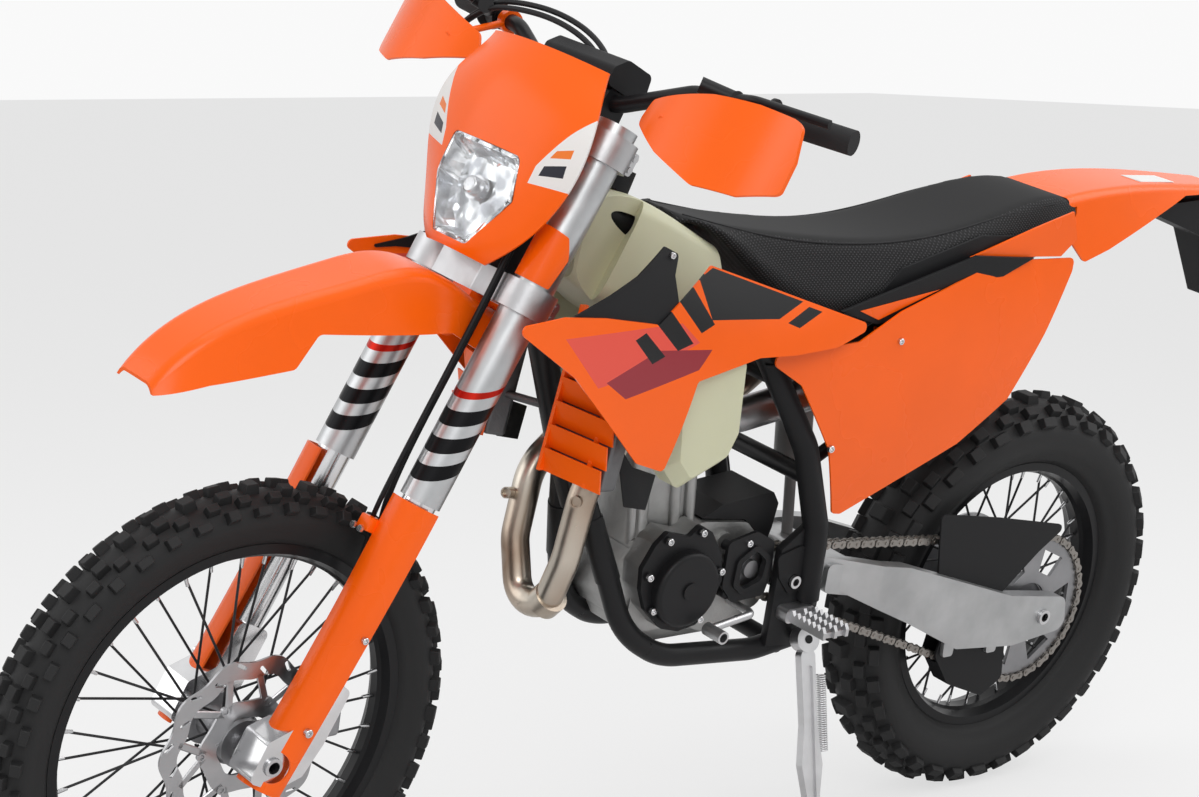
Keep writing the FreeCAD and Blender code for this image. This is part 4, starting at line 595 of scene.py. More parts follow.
def fork_tube():
    """Grey anodised tube with four slanted bars of film above the guard."""
    nodes = metal("Outer tube", (0.52, 0.53, 0.54), 0.34, 0.05)
    own = nodes.own(turned=True)
    foot = AXIS_FOOT
    rise = nodes.math("SUBTRACT", nodes.along(own, UP_AXIS), foot.dot(UP_AXIS))
    fore = nodes.math("SUBTRACT", nodes.along(own, FORE_AXIS), foot.dot(FORE_AXIS))
    slanted = nodes.math("ADD", rise, nodes.math("MULTIPLY", fore, 0.7))
    colour = nodes.base()
    for low, high, tint in ((0.452, 0.474, (0.015, 0.015, 0.016)), (0.492, 0.514, (0.015, 0.015, 0.016)),
                            (0.532, 0.554, (0.015, 0.015, 0.016)), (0.572, 0.582, (0.45, 0.02, 0.012))):
        band = nodes.math("MULTIPLY", nodes.math("GREATER_THAN", slanted, low),
                          nodes.math("LESS_THAN", slanted, high))
        colour = nodes.blend(band, colour, tint)
    nodes.link(colour, nodes.shader.inputs["Base Color"])
    return nodes


def finishes():
    """The material of every slot of the record."""
    plastic = tuple(colours().plastic)
    black = (0.009, 0.009, 0.010)
    return {
        "tyre_rubber": tyre_rubber(),
        "rim_black": moulded("Rim black", (0.010, 0.010, 0.011), 0.3, 0.03),
        "spoke_steel": moulded("Spoke black", (0.025, 0.025, 0.027), 0.35, 0.02),
        "hub_metal": metal("Hub metal", (0.26, 0.26, 0.27), 0.45, 0.2),
        "disc_steel": metal("Disc steel", (0.42, 0.42, 0.43), 0.3, 0.08),
        "sprocket_metal": metal("Sprocket metal", (0.3, 0.3, 0.31), 0.4, 0.1),
        "chain_steel": metal("Chain steel", (0.3, 0.28, 0.26), 0.42, 0.2),
        "axle_steel": metal("Axle steel", (0.62, 0.62, 0.63), 0.25, 0.05),
        "tube_outer": fork_tube(),
        "tube_inner": metal("Inner tube", (0.72, 0.72, 0.73), 0.16, 0.02),
        "clamp_metal": metal("Clamp metal", (0.5, 0.5, 0.51), 0.38, 0.12),
        "bar_metal": moulded("Bar black", black, 0.4, 0.03),
        "grip_rubber": grip_rubber(),
        "plastic_orange": moulded("Orange plastic", plastic, 0.27, 0.02),
        "plastic_black": moulded("Black plastic", black, 0.52, 0.3),
        "plastic_white": moulded("White plastic", (0.8, 0.8, 0.78), 0.3, 0.02),
        "lens_glass": lens_glass(),
        "seat_cover": seat_cloth(),
        "frame_paint": moulded("Frame paint", (0.012, 0.012, 0.013), 0.36, 0.08),
        "subframe_metal": metal("Subframe metal", (0.45, 0.45, 0.46), 0.4, 0.1),
        "swingarm_metal": metal("Swingarm metal", (0.45, 0.455, 0.46), 0.42, 0.18),
        "engine_metal": metal("Engine castings", (0.40, 0.40, 0.395), 0.48, 0.45, 240.0),
        "cover_dark": moulded("Dark cover", (0.011, 0.011, 0.012), 0.4, 0.2),
        "header_steel": header_steel(),
        "muffler_metal": metal("Muffler metal", (0.55, 0.55, 0.56), 0.34, 0.1),
        "radiator_metal": metal("Radiator metal", (0.16, 0.16, 0.165), 0.5, 0.3),
        "tank_plastic": tank_plastic(),
        "control_metal": metal("Control metal", (0.55, 0.55, 0.56), 0.36, 0.15),
        "stand_metal": metal("Stand metal", (0.62, 0.62, 0.63), 0.36, 0.15),
        "caliper_metal": metal("Caliper metal", (0.3, 0.3, 0.31), 0.42, 0.2),
        "hose_black": moulded("Hose black", black, 0.45, 0.02),
        "shock_paint": moulded("Shock paint", (0.2, 0.2, 0.2), 0.35, 0.02),
    }


class ENDURO_OT_finishes(bpy.types.Operator):
    """Gives every solid of the bike the finish of its slot"""

    bl_idname = "enduro.finishes"
    bl_label = "Finishes"

    def execute(self, context):
        made = finishes()
        slots = {row["node"]: row["material_slot"] for row in frame["record"]["subparts"]}
        special = {"shrouds": shroud_plastic().material,
                   "headlamp_mask": mask_plastic().material,
                   "hand_levers": made["bar_metal"].material,
                   "subframe": made["frame_paint"].material}
        for node, obj in frame["nodes"].items():
            obj.data.materials.clear()
            obj.data.materials.append(special.get(node, made[slots[node]].material))
        context.scene["enduro_finishes"] = {slot: nodes.material.name for slot, nodes in made.items()}
        return {"FINISHED"}


def finish_of(slot):
    return bpy.data.materials[bpy.context.scene["enduro_finishes"][slot]]


class ENDURO_OT_tyres(bpy.types.Operator):
    """Moulds both tyres: a round casing and its rows of tread blocks"""

    bl_idname = "enduro.tyres"
    bl_label = "Tyres"

    # radius over the casing, crown's own radius, pitches, wheel's place, casing from bead to crown
    ROWS = {
        "front": (0.3394, 0.044, 46, FRONT_WHEEL,
                  ((0.2600, 0.0130), (0.2600, 0.0197), (0.2705, 0.0202), (0.2730, 0.0240),
                   (0.2765, 0.0270), (0.2800, 0.0305), (0.2830, 0.0312), (0.2900, 0.0350),
                   (0.3030, 0.0390), (0.3120, 0.0400))),
        "rear": (0.3370, 0.066, 36, REAR_WHEEL,
                 ((0.2240, 0.0200), (0.2240, 0.0285), (0.2348, 0.0290), (0.2380, 0.0345),
                  (0.2420, 0.0400), (0.2460, 0.0450), (0.2500, 0.0460), (0.2600, 0.0540),
                  (0.2740, 0.0605), (0.2900, 0.0625), (0.3010, 0.0612))),
    }
    # across, share of the pitch from its start, width, length, every other pitch
    BLOCKS = {
        "front": ((0.0, 0.0, 0.022, 0.022, 0), (0.0115, 0.0, 0.015, 0.022, 1),
                  (-0.0115, 0.0, 0.015, 0.022, 1), (0.0225, 0.5, 0.013, 0.020, 2),
                  (-0.0225, 0.5, 0.013, 0.020, 2), (0.0350, 0.0, 0.013, 0.024, 0),
                  (-0.0350, 0.0, 0.013, 0.024, 0), (0.0340, 0.0, 0.016, 0.019, 1),
                  (-0.0340, 0.0, 0.016, 0.019, 1)),
        "rear": ((0.0, 0.0, 0.036, 0.027, 0), (0.0175, 0.0, 0.023, 0.027, 1),
                 (-0.0175, 0.0, 0.023, 0.027, 1), (0.036, 0.5, 0.020, 0.027, 2),
                 (-0.036, 0.5, 0.020, 0.027, 2), (0.052, 0.0, 0.019, 0.034, 0),
                 (-0.052, 0.0, 0.019, 0.034, 0), (0.051, 0.0, 0.023, 0.026, 1),
                 (-0.051, 0.0, 0.023, 0.026, 1)),
    }

    def execute(self, context):
        for end in ("front", "rear"):
            crown, bow, pitches, place, flank = self.ROWS[end]
            casing = self.casing(end, crown, bow, flank)
            blocks = self.blocks(end, crown, bow, pitches)
            tyre = joined([casing, blocks], end + "_tyre_moulded")
            placed(tyre, place)
            smooth(tyre, 38)
            dress(tyre, finish_of("tyre_rubber"), end + "_wheel")
            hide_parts(end + "_tyre")
        return {"FINISHED"}

    def casing(self, end, crown, bow, flank):
        side = list(flank)
        last = flank[-1][1]
        for share in (0.86, 0.7, 0.5, 0.25, 0.0):
            across = last * share
            if abs(across) < bow * 0.95:
                side.append((crown - bow + math.sqrt(bow ** 2 - across ** 2), across))
        outline = side + [(r, -y) for r, y in reversed(side[:-1])]
        return spun_ring(end + "_casing", outline, 96)

    def blocks(self, end, crown, bow, pitches):
        height = sizes().block_height
        sink = 0.004
        source = slab("block", (1, 1, height + sink), -sink)
        pick(source, lambda middle, normal: normal.z > 0.9)
        bpy.ops.transform.resize(value=(0.84, 0.84, 1))
        leave_edit()
        places = []
        for i in range(pitches):
            for across, share, width, length, turn_by in self.BLOCKS[end]:
                if turn_by < 2 and i % 2 != turn_by:
                    continue
                turn = Matrix.Rotation((i + share) * math.tau / pitches, 4, "Y")
                reach = crown - bow + math.sqrt(bow ** 2 - across ** 2)
                tilt = Matrix.Rotation(-math.asin(across / bow), 4, "X")
                shape = Matrix.Diagonal((length, width, 1, 1))
                places.append(turn @ Matrix.Translation((0, across, reach)) @ tilt @ shape)
        blocks = copies(source, places, end + "_blocks")
        return modified(blocks, "BEVEL", width=0.0009, segments=1, limit_method="ANGLE")


class ENDURO_OT_chain(bpy.types.Operator):
    """Links the drive chain round both sprockets"""

    bl_idname = "enduro.chain"
    bl_label = "Chain"

    LINE = 0.084
    TEETH = (50, 13)

    def execute(self, context):
        stops = self.stops()
        outer, inner = [], []
        for i, start in enumerate(stops):
            end = stops[(i + 1) % len(stops)]
            middle = (start + end) / 2
            run = end - start
            turn = Matrix.Rotation(-math.atan2(run.z, run.x), 4, "Y")
            place = PARKED @ Matrix.Translation(middle + Vector((0, self.LINE, 0))) @ turn
            (outer if i % 2 else inner).append(place)
        pitch = sizes().chain_pitch
        for name, places, across, pins in (("outer", outer, 0.0070, True),
                                           ("inner", inner, 0.0045, False)):
            link = self.link(pitch, across, pins)
            chain = copies(link, places, "chain_%s_links" % name)
            smooth(chain, 30)
            dress(chain, finish_of("chain_steel"), "chassis")
            if pins:
                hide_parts("drive_chain")
        return {"FINISHED"}

    def link(self, pitch, across, pins):
        """Two waisted plates along X and what joins them."""
        parts = []
        for side in (1, -1):
            plate = cylinder("plate", 0.0068, 0.0016, 14)
            for vertex in plate.data.vertices:
                vertex.co.x += math.copysign(pitch / 2, vertex.co.x)
            only(plate)
            bpy.ops.object.mode_set(mode="EDIT")
            bpy.ops.mesh.select_all(action="SELECT")
            bpy.ops.mesh.bisect(plane_co=(0, 0, 0), plane_no=(1, 0, 0))
            bpy.ops.transform.resize(value=(1, 0.66, 1))
            leave_edit()
            turn = Matrix.Rotation(math.pi / 2, 4, "X")
            parts.append(placed(plate, Matrix.Translation((0, side * across + 0.0008, 0)) @ turn))
        for end in (-0.5, 0.5):
            reach = 2 * across + (0.0042 if pins else -0.001)
            pin = cylinder("pin", 0.0024 if pins else 0.0049, reach, 8 if pins else 12)
            turn = Matrix.Rotation(math.pi / 2, 4, "X")
            parts.append(placed(pin, Matrix.Translation((end * pitch, reach / 2, 0)) @ turn))
        return joined(parts, "link")

    def stops(self):
        """Places of the pins, spaced evenly along the pitch line."""
        pitch = sizes().chain_pitch
        big, small = (teeth * pitch / math.tau for teeth in self.TEETH)
        gap = DRIVE_SHAFT - REAR_AXLE
        slope = math.atan2(gap.z, gap.x)
        wrap = math.acos((big - small) / gap.length)
        run = math.sqrt(gap.length ** 2 - (big - small) ** 2)
        parts = (2 * big * (math.pi - wrap), run, 2 * small * wrap, run)
        count = 2 * round(sum(parts) / pitch / 2)
        places = []
        for i in range(count):
            rest = sum(parts) * i / count
            leg = 0
            while rest > parts[leg]:
                rest -= parts[leg]
                leg += 1
            if leg == 0:
                places.append(self.on(REAR_AXLE, big, slope + wrap + rest / big))
            elif leg == 2:
                places.append(self.on(DRIVE_SHAFT, small, slope - wrap + rest / small))
            else:
                angle = slope - wrap if leg == 1 else slope + wrap
                low, high = self.on(REAR_AXLE, big, angle), self.on(DRIVE_SHAFT, small, angle)
                share = rest / run if leg == 1 else 1 - rest / run
                places.append(low.lerp(high, share))
        return places

    def on(self, centre, radius, angle):
        return centre + Vector((radius * math.cos(angle), 0, radius * math.sin(angle)))


class ENDURO_OT_frame(bpy.types.Operator):
    """Bends the frame's tubes and welds them to the head and the pivot plates"""

    bl_idname = "enduro.frame"
    bl_label = "Frame tubes"

    # left side: x, y, z
    CRADLE = ((960, 8, 690), (912, 52, 545), (872, 74, 430), (800, 82, 384), (620, 90, 372),
              (552, 96, 386))
    SPAR = ((900, 40, 1010), (700, 92, 850), (600, 108, 700), (553, 112, 570), (546, 112, 440))
    # x and z
    PLATE = ((614, 540), (560, 580), (520, 540), (520, 410), (545, 378), (614, 384))
    TAB = ((684, 826), (498, 822), (488, 804), (500, 790), (684, 798))
    # x, half length, z
    CROSS = ((674, 96, 812), (900, 52, 1010), (574, 98, 376), (574, 108, 648))
    TUBE = 17

    def execute(self, context):
        low = fork_place(0.766, -0.010, 0) * 1000
        top = fork_place(0.863, -0.012, 0) * 1000
        parts = [bent_pipe("down", (low, (975, 0, 700), (935, 0, 612)), self.TUBE + 3, 200)]
        for side in (1, -1):
            parts.append(bent_pipe("cradle", self.mirror(self.CRADLE, side), self.TUBE, 120))
            start = top + Vector((0, side * 16, -12))
            spar = (start, *self.mirror(self.SPAR, side))
            parts.append(bent_pipe("spar", spar, self.TUBE - 1, 90))
            parts.append(self.plate(self.PLATE, side * 105, 14))
            sleeve = ((960 - 30, side * 35, 600), (912 - 12, side * 58.5, 510))
            parts.append(bent_pipe("sleeve", sleeve, self.TUBE + 1.6, 10))
        for y in (-48, -20):
            parts.append(self.plate(self.TAB, y, 4))
        for x, half, z in self.CROSS:
            parts.append(bent_pipe("cross", ((x, -half, z), (x, half, z)), self.TUBE - 3, 10))
        for end, length in ((0.711, 181), (0.711, 14), (0.878, 14)):
            radius = 0.027 if length > 100 else 0.0305
            head = cylinder("head", radius, length / 1000, 40)
            parts.append(placed(head, PARKED @ stood(fork_place(end, 0, 0), UP_AXIS)))
        pin = Vector((0.14, 0.927, 0.365)).normalized()
        pivot = Vector((558, 136, 398))
        parts.append(bent_pipe("stand_pin", (pivot - pin * 27, pivot + pin * 12), 6.5, 5))
        tubes = joined(parts, "frame_tubes")
        smooth(tubes, 35)
        dress(tubes, finish_of("frame_paint"), "chassis")
        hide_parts("main_frame")
        return {"FINISHED"}

    def mirror(self, corners, side):
        return [(x, side * y, z) for x, y, z in corners]

    def plate(self, outline, middle, thick):
        """Upright plate, its middle plane at that distance to the left, millimetres."""
        corners = [(x / 1000, z / 1000) for x, z in outline]
        flat = outline_plate("plate", corners, thick / 1000, 0.0012)
        turn = Matrix.Rotation(math.pi / 2, 4, "X")
        shift = Matrix.Translation((0, (middle + thick / 2) / 1000, 0))
        return placed(flat, PARKED @ shift @ turn)


class ENDURO_OT_exhaust(bpy.types.Operator):
    """Bends the header pipe with its weld collars, flange and sensor boss"""

    bl_idname = "enduro.exhaust"
    bl_label = "Exhaust header"

    ROUTE = ((878, 6, 729), (924, 44, 712), (968, 58, 655), (980, 54, 550), (986, 30, 468),
             (986, -32, 458), (980, -66, 540), (955, -82, 640), (885, -86, 700), (760, -85, 722),
             (640, -64, 730), (585, -70, 738), (480, -108, 770), (392, -142, 815))
    # start and end along a run of the pipe, radius over the pipe
    COLLARS = (((983, 38, 488), (983, 22, 470), 4.5), ((925, 45, 711), (918, 39, 714), 7),
               ((700, -75, 726), (684, -72.5, 727), 2.6))

    def execute(self, context):
        parts = [bent_pipe("pipe", self.ROUTE, 21, 85, 12)]
        for start, end, rise in self.COLLARS:
            parts.append(bent_pipe("collar", (start, end), 21 + rise, 5, 12))
        for place, up in (((974, 58, 640), Vector((0.75, 0.6, 0.2))),
                          ((975, -84, 600), Vector((0.85, 0.35, 0.2)))):
            boss = cylinder("boss", 0.0085, 0.030, 16)
            pick(boss, lambda middle, normal: normal.z > 0.9)
            bpy.ops.mesh.inset(thickness=0.002)
            bpy.ops.mesh.extrude_region_move(TRANSFORM_OT_translate={"value": (0, 0, -0.006)})
            leave_edit()
            parts.append(placed(boss, PARKED @ stood(Vector(place) / 1000, up.normalized())))
        header = joined(parts, "header_pipe")
        smooth(header, 35)
        dress(header, finish_of("header_steel"), "chassis")
        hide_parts("exhaust_header")
        return {"FINISHED"}


class ENDURO_OT_seat(bpy.types.Operator):
    """Pulls a soft cover with a crown over the seat's shape and sews its edges"""

    bl_idname = "enduro.seat"
    bl_label = "Seat cover"

    # seam between the top and the left side: x, y, z in millimetres, before it is laid on the cover
    SEAM = ((846, 38, 1046), (740, 60, 1020), (640, 70, 1006), (545, 76, 1002), (470, 82, 1002),
            (397, 85, 1006), (335, 87, 1016), (275, 87, 1028), (200, 80, 1036), (120, 72, 1042))

    def execute(self, context):
        cover = node_copy("seat", "seat_cover")
        modified(cover, "REMESH", mode="VOXEL", voxel_size=sizes().seat_voxel)
        modified(cover, "SMOOTH", factor=0.5, iterations=6)
        smooth(cover, 60)
        seams = [self.seam(cover, side) for side in (1, -1)]
        dress(cover, finish_of("seat_cover"), "chassis")
        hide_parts("seat")
        piping = joined(seams, "seat_piping")
        smooth(piping, 60)
        dress(piping, finish_of("grip_rubber"), "chassis")
        return {"FINISHED"}

    def seam(self, cover, side):
        spots = []
        for x, y, z in self.SEAM:
            spot = PARKED @ Vector((x / 1000, side * y / 1000, z / 1000))
            spots.append(cover.closest_point_on_mesh(spot)[1])
        line = bpy.data.curves.new("seam", "CURVE")
        line.dimensions = "3D"
        line.bevel_depth = sizes().seam
        line.bevel_resolution = 2
        run = line.splines.new("NURBS")
        run.points.add(len(spots) - 1)
        for point, spot in zip(run.points, spots):
            point.co = (*spot, 1)
        run.order_u = 3
        run.use_endpoint_u = True
        line.use_fill_caps = True
        obj = bpy.data.objects.new("seam", line)
        bpy.context.collection.objects.link(obj)
        only(obj)
        bpy.ops.object.convert(target="MESH")
        return bpy.context.object


class ENDURO_OT_lamp(bpy.types.Operator):
    """Hollows the lamp into a reflector with a bulb and closes it with a clear lens"""

    bl_idname = "enduro.lamp"
    bl_label = "Lamp"

    def execute(self, context):
        fore = (TURNED.to_3x3() @ FORE_AXIS).normalized()
        bowl = node_copy("headlamp", "lamp_reflector")
        pick(bowl, lambda middle, normal: normal.dot(fore) > 0.4)
        bpy.ops.mesh.duplicate()
        bpy.ops.mesh.separate(type="SELECTED")
        leave_edit()
        lens = next(obj for obj in context.selected_objects if obj is not bowl)
        lens.name = "lamp_lens"
        pick(bowl, lambda middle, normal: normal.dot(fore) > 0.4)
        bpy.ops.mesh.inset(thickness=0.005)
        bpy.ops.mesh.extrude_region_move(TRANSFORM_OT_translate={"value": -fore * 0.026})
        bpy.ops.transform.resize(value=(0.82, 0.82, 0.82))
        leave_edit()
        modified(lens, "SOLIDIFY", thickness=0.0018, offset=1)
        smooth(lens, 40)
        smooth(bowl, 25)
        dress(bowl, mirror_metal().material, "steering")
        dress(lens, finish_of("lens_glass"), "steering")
        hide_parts("headlamp")
        self.bulb()
        return {"FINISHED"}

    def bulb(self):
        """Bulb in its collar, on the reflector's floor."""
        collar = cylinder("collar", 0.017, 0.010, 24)
        pick(collar, lambda middle, normal: normal.z > 0.9)
        bpy.ops.mesh.inset(thickness=0.004)
        bpy.ops.mesh.extrude_region_move(TRANSFORM_OT_translate={"value": (0, 0, 0.012)})
        bpy.ops.mesh.bevel(offset=0.004, segments=3)
        leave_edit()
        where = TURNED @ stood(fork_place(0.790, 0.096, 0), FORE_AXIS)
        placed(collar, where)
        collar.name = "lamp_bulb"
        smooth(collar, 35)
        dress(collar, finish_of("axle_steel"), "steering")


class ENDURO_OT_hardware(bpy.types.Operator):
    """Sets screws and bolts on the faces that they hold, and nipples on the spokes"""

    bl_idname = "enduro.hardware"
    bl_label = "Hardware"

    # solid, x and z in millimetres, side, size over the 10 mm screw's
    CHASSIS = (("ignition_cover", 838, 580, 1, 1.1), ("ignition_cover", 776, 586, 1, 1.1),
               ("ignition_cover", 866, 528, 1, 1.1), ("ignition_cover", 850, 474, 1, 1.1),
               ("ignition_cover", 756, 448, 1, 1.1), ("ignition_cover", 728, 520, 1, 1.1),
               ("side_panels", 577, 706, 1, 1.1), ("side_panels", 470, 864, 1, 1.0),
               ("side_panels", 470, 864, -1, 1.0), ("shrouds", 892, 862, -1, 1.0),
               ("shroud_flaps", 955, 1022, 1, 0.9), ("shroud_flaps", 955, 1022, -1, 0.9),
               ("sprocket_cover", 676, 556, 1, 1.1))
    # solid, along and forward of the steering axis, side, size
    STEERING = (("fork_guards", 60, 40, 1, 1.2), ("fork_guards", 200, 30, 1, 1.0),
                ("fork_guards", 60, 40, -1, 1.2), ("fork_guards", 200, 30, -1, 1.0),
                ("headlamp_mask", 880, 60, 1, 1.1), ("headlamp_mask", 880, 60, -1, 1.1))
    # wheel, place, under the rim, hub flange, half width of the flanges, count
    WHEELS = (("front", FRONT_WHEEL, 0.248, 0.040), ("rear", REAR_WHEEL, 0.212, 0.0543))
    SPOKES = 36

    def execute(self, context):
        flat = LEANED.to_3x3()
        places = []
        for node, x, z, side, factor in self.CHASSIS:
            start = PARKED @ Vector((x / 1000, side * 0.5, z / 1000))
            place, up = landing(node, start, flat @ Vector((0, -side, 0)))
            places.append(stood(place, up, factor))
        self.screws("chassis", places)
        turned = TURNED.to_3x3()
        places = []
        for node, along, fore, side, factor in self.STEERING:
            start = TURNED @ fork_place(along / 1000, fore / 1000, side * 0.5)
            place, up = landing(node, start, turned @ Vector((0, -side, 0)))
            places.append(stood(place, up, factor))
        self.screws("steering", places)
        for name, wheel, reach, _ in self.WHEELS:
            self.nipples(name, wheel, reach)
        return {"FINISHED"}

    def screws(self, body, places):
        """Socket screws of one body."""
        head = cylinder("head", 0.005, 0.0048, 20)
        pick(head, lambda middle, normal: normal.z > 0.9)
        bpy.ops.mesh.inset(thickness=0.0006)
        bpy.ops.transform.translate(value=(0, 0, 0.0006))
        bpy.ops.mesh.inset(thickness=0.0016)
        bpy.ops.mesh.extrude_region_move(TRANSFORM_OT_translate={"value": (0, 0, -0.003)})
        leave_edit()
        screws = copies(head, places, body + "_screws")
        smooth(screws, 30)
        dress(screws, finish_of("axle_steel"), body)

    def nipples(self, name, wheel, reach):
        """Pale nipples where the spokes meet the rim."""
        nut = cylinder("nut", 0.0032, 0.016, 8)
        pick(nut, lambda middle, normal: normal.z < -0.9)
        bpy.ops.transform.resize(value=(0.8, 0.8, 1))
        leave_edit()
        places = []
        for i in range(self.SPOKES):
            turn = Matrix.Rotation(-i * math.tau / self.SPOKES, 4, "Y")
            side = 1 if i % 2 else -1
            foot = Matrix.Translation((reach - 0.015, side * 0.004, 0))
            lay = Matrix.Rotation(math.pi / 2, 4, "Y")
            places.append(wheel @ turn @ foot @ lay)
        nipples = copies(nut, places, name + "_nipples")
        smooth(nipples, 30)
        dress(nipples, finish_of("axle_steel"), name + "_wheel")


class ENDURO_OT_cables(bpy.types.Operator):
    """Runs the brake hose and the sensor cable down the left leg, and two cables over the bar"""

    bl_idname = "enduro.cables"
    bl_label = "Hoses and cables"

    # along the leg, forward of it, inward from it, millimetres
    HOSE = ((882, 24, 58), (830, 24, 50), (750, 28, 40), (640, 28, 36), (400, 36, 28),
            (320, -2, 42), (200, -28, 40), (120, -30, 40))
    SENSOR = ((868, 33, 52), (826, 36, 42), (750, 40, 31), (640, 40, 27), (400, 47, 20),
              (336, 30, 34), (318, 8, 46), (250, -8, 48))
    # up the steering axis, forward of it, to the left
    OVER = ((1004, 34, -262), (1038, 38, -232), (1054, 34, -180), (1060, 30, -100),
            (1050, 20, -30), (1022, 22, 30), (975, 34, 52), (940, 36, 54))

    def execute(self, context):
        hose = self.leg(self.HOSE)
        self.cable("brake_hose", hose, 0.0045, "stiff")
        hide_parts("front_brake_hose")
        self.cable("sensor_cable", self.leg(self.SENSOR), 0.0036, "medium")
        for i, shift in enumerate((0, 11)):
            spots = [TURNED @ fork_place((along - shift) / 1000, (fore + shift * 0.4) / 1000,
                                         side / 1000)
                     for along, fore, side in self.OVER]
            self.cable("bar_cable_%d" % (i + 1), spots, 0.0040, "medium")
        self.clamp()
        return {"FINISHED"}

    def leg(self, route):
        return [TURNED @ fork_place(along / 1000, CLAMP_OFFSET + fore / 1000,
                                    LEG_SIDE - inward / 1000)
                for along, fore, inward in route]

    def cable(self, name, spots, radius, stiffness):
        line = bpy.data.curves.new(name, "CURVE")
        line.dimensions = "3D"
        line.bevel_depth = radius
        line.bevel_resolution = 3
        line.use_fill_caps = True
        run = line.splines.new("NURBS")
        run.points.add(len(spots) - 1)
        for point, spot in zip(run.points, spots):
            point.co = (*spot, 1)
        run.order_u = 3
        run.use_endpoint_u = True
        run.resolution_u = 12
        cable = bpy.data.objects.new(name, line)
        bpy.context.collection.objects.link(cable)
        dress(cable, finish_of("hose_black"), "steering")

    def clamp(self):
        """Moulded clamp that holds hose and cable to the leg guard."""
        block = slab("hose_clamp", (0.030, 0.034, 0.020))
        pick(block, lambda middle, normal: abs(normal.z) > 0.9)
        bpy.ops.transform.resize(value=(0.8, 0.8, 1))
        leave_edit()
        modified(block, "BEVEL", width=0.003, segments=2, limit_method="ANGLE")
        where = stood(fork_place(0.326, CLAMP_OFFSET + 0.036, LEG_SIDE - 0.024), UP_AXIS)
        placed(block, TURNED @ where)
        head = cylinder("head", 0.0048, 0.004, 16)
        spots = [TURNED @ stood(fork_place(0.326, CLAMP_OFFSET + fore, LEG_SIDE - inward), FORE_AXIS)
                 for fore, inward in ((0.0535, 0.017), (0.0535, 0.033))]
        screws = copies(head, spots, "clamp_screws")
        smooth(screws, 30)
        dress(screws, finish_of("axle_steel"), "steering")
        smooth(block, 40)
        dress(block, finish_of("plastic_orange"), "steering")


class ENDURO_OT_rotor(bpy.types.Operator):
    """Cuts the front brake rotor: a waved ring on raked arms, riveted to its carrier"""

    bl_idname = "enduro.rotor"
    bl_label = "Front rotor"

    WAVES = 10
    ARMS = 6
    THICK = 0.0036
    OFFSET = 0.056

    def execute(self, context):
        parts = [self.ring(), self.carrier()]
        arms = []
        rivets = []
        for i in range(self.ARMS):
            turn = Matrix.Rotation(i * math.tau / self.ARMS, 4, "Z")
            for rake, lean in ((0.30, 0.55), (-0.12, -0.35)):
                at = Matrix.Translation((0.082 * math.cos(rake), 0.082 * math.sin(rake), 0))
                arms.append(turn @ at @ Matrix.Rotation(rake + lean, 4, "Z"))
            rivets.append(turn @ Matrix.Translation((0.0665, 0.004, -0.0008)))
        arm = slab("arm", (0.050, 0.0105, self.THICK))
        modified(arm, "BEVEL", width=0.0012, segments=1, limit_method="ANGLE")
        parts.append(copies(arm, arms, "arms"))
        rivet = cylinder("rivet", 0.0062, self.THICK + 0.0018, 16)
        pick(rivet, lambda middle, normal: normal.z > 0.9)
        bpy.ops.mesh.inset(thickness=0.0022)
        bpy.ops.mesh.extrude_region_move(TRANSFORM_OT_translate={"value": (0, 0, -0.0015)})
        leave_edit()
        parts.append(copies(rivet, rivets, "rivets"))
        rotor = joined(parts, "front_rotor")
        lay = Matrix.Rotation(-math.pi / 2, 4, "X")
        placed(rotor, FRONT_WHEEL @ Matrix.Translation((0, self.OFFSET - self.THICK / 2, 0)) @ lay)
        smooth(rotor, 30)
        dress(rotor, finish_of("disc_steel"), "front_wheel")
        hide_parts("front_disc")
        return {"FINISHED"}

    def flat_ring(self, name, count, edge, inner):
        """Flat ring on the XY plane; EDGE gives the outer radius at an angle."""
        deselect()
        bpy.ops.mesh.primitive_circle_add(vertices=count, radius=1)
        ring = bpy.context.object
        ring.name = name
        for vertex in ring.data.vertices:
            vertex.co *= edge(math.atan2(vertex.co.y, vertex.co.x))
        bpy.ops.object.mode_set(mode="EDIT")
        bpy.ops.mesh.select_all(action="SELECT")
        bpy.ops.mesh.extrude_edges_move()
        bpy.ops.transform.resize(value=(inner, inner, 1))
        bpy.ops.mesh.select_all(action="SELECT")
        bpy.ops.mesh.extrude_region_move(TRANSFORM_OT_translate={"value": (0, 0, self.THICK)})
        bpy.ops.mesh.select_all(action="SELECT")
        bpy.ops.mesh.normals_make_consistent(inside=False)
        leave_edit()
        return ring

    def ring(self):
        ring = self.flat_ring("ring", 160, lambda a: 0.1252 + 0.0046 * math.cos(self.WAVES * a), 0.80)
        slot = cylinder("slot", 0.0030, 0.02, 12)
        for vertex in slot.data.vertices:
            vertex.co.x += math.copysign(0.0055, vertex.co.x)
        places = []
        for i in range(2 * self.WAVES):
            turn = Matrix.Rotation((i + 0.5) * math.tau / (2 * self.WAVES), 4, "Z")
            reach = 0.119 if i % 2 else 0.108
            places.append(turn @ Matrix.Translation((reach, 0, -0.008))
                          @ Matrix.Rotation(0.9, 4, "Z"))
        slots = copies(slot, places, "slots")
        modified(ring, "BOOLEAN", object=slots, operation="DIFFERENCE")
        bpy.data.objects.remove(slots)
        return ring

    def carrier(self):
        return self.flat_ring("carrier", 72, lambda a: 0.068 + 0.003 * math.cos(self.ARMS * a), 0.62)


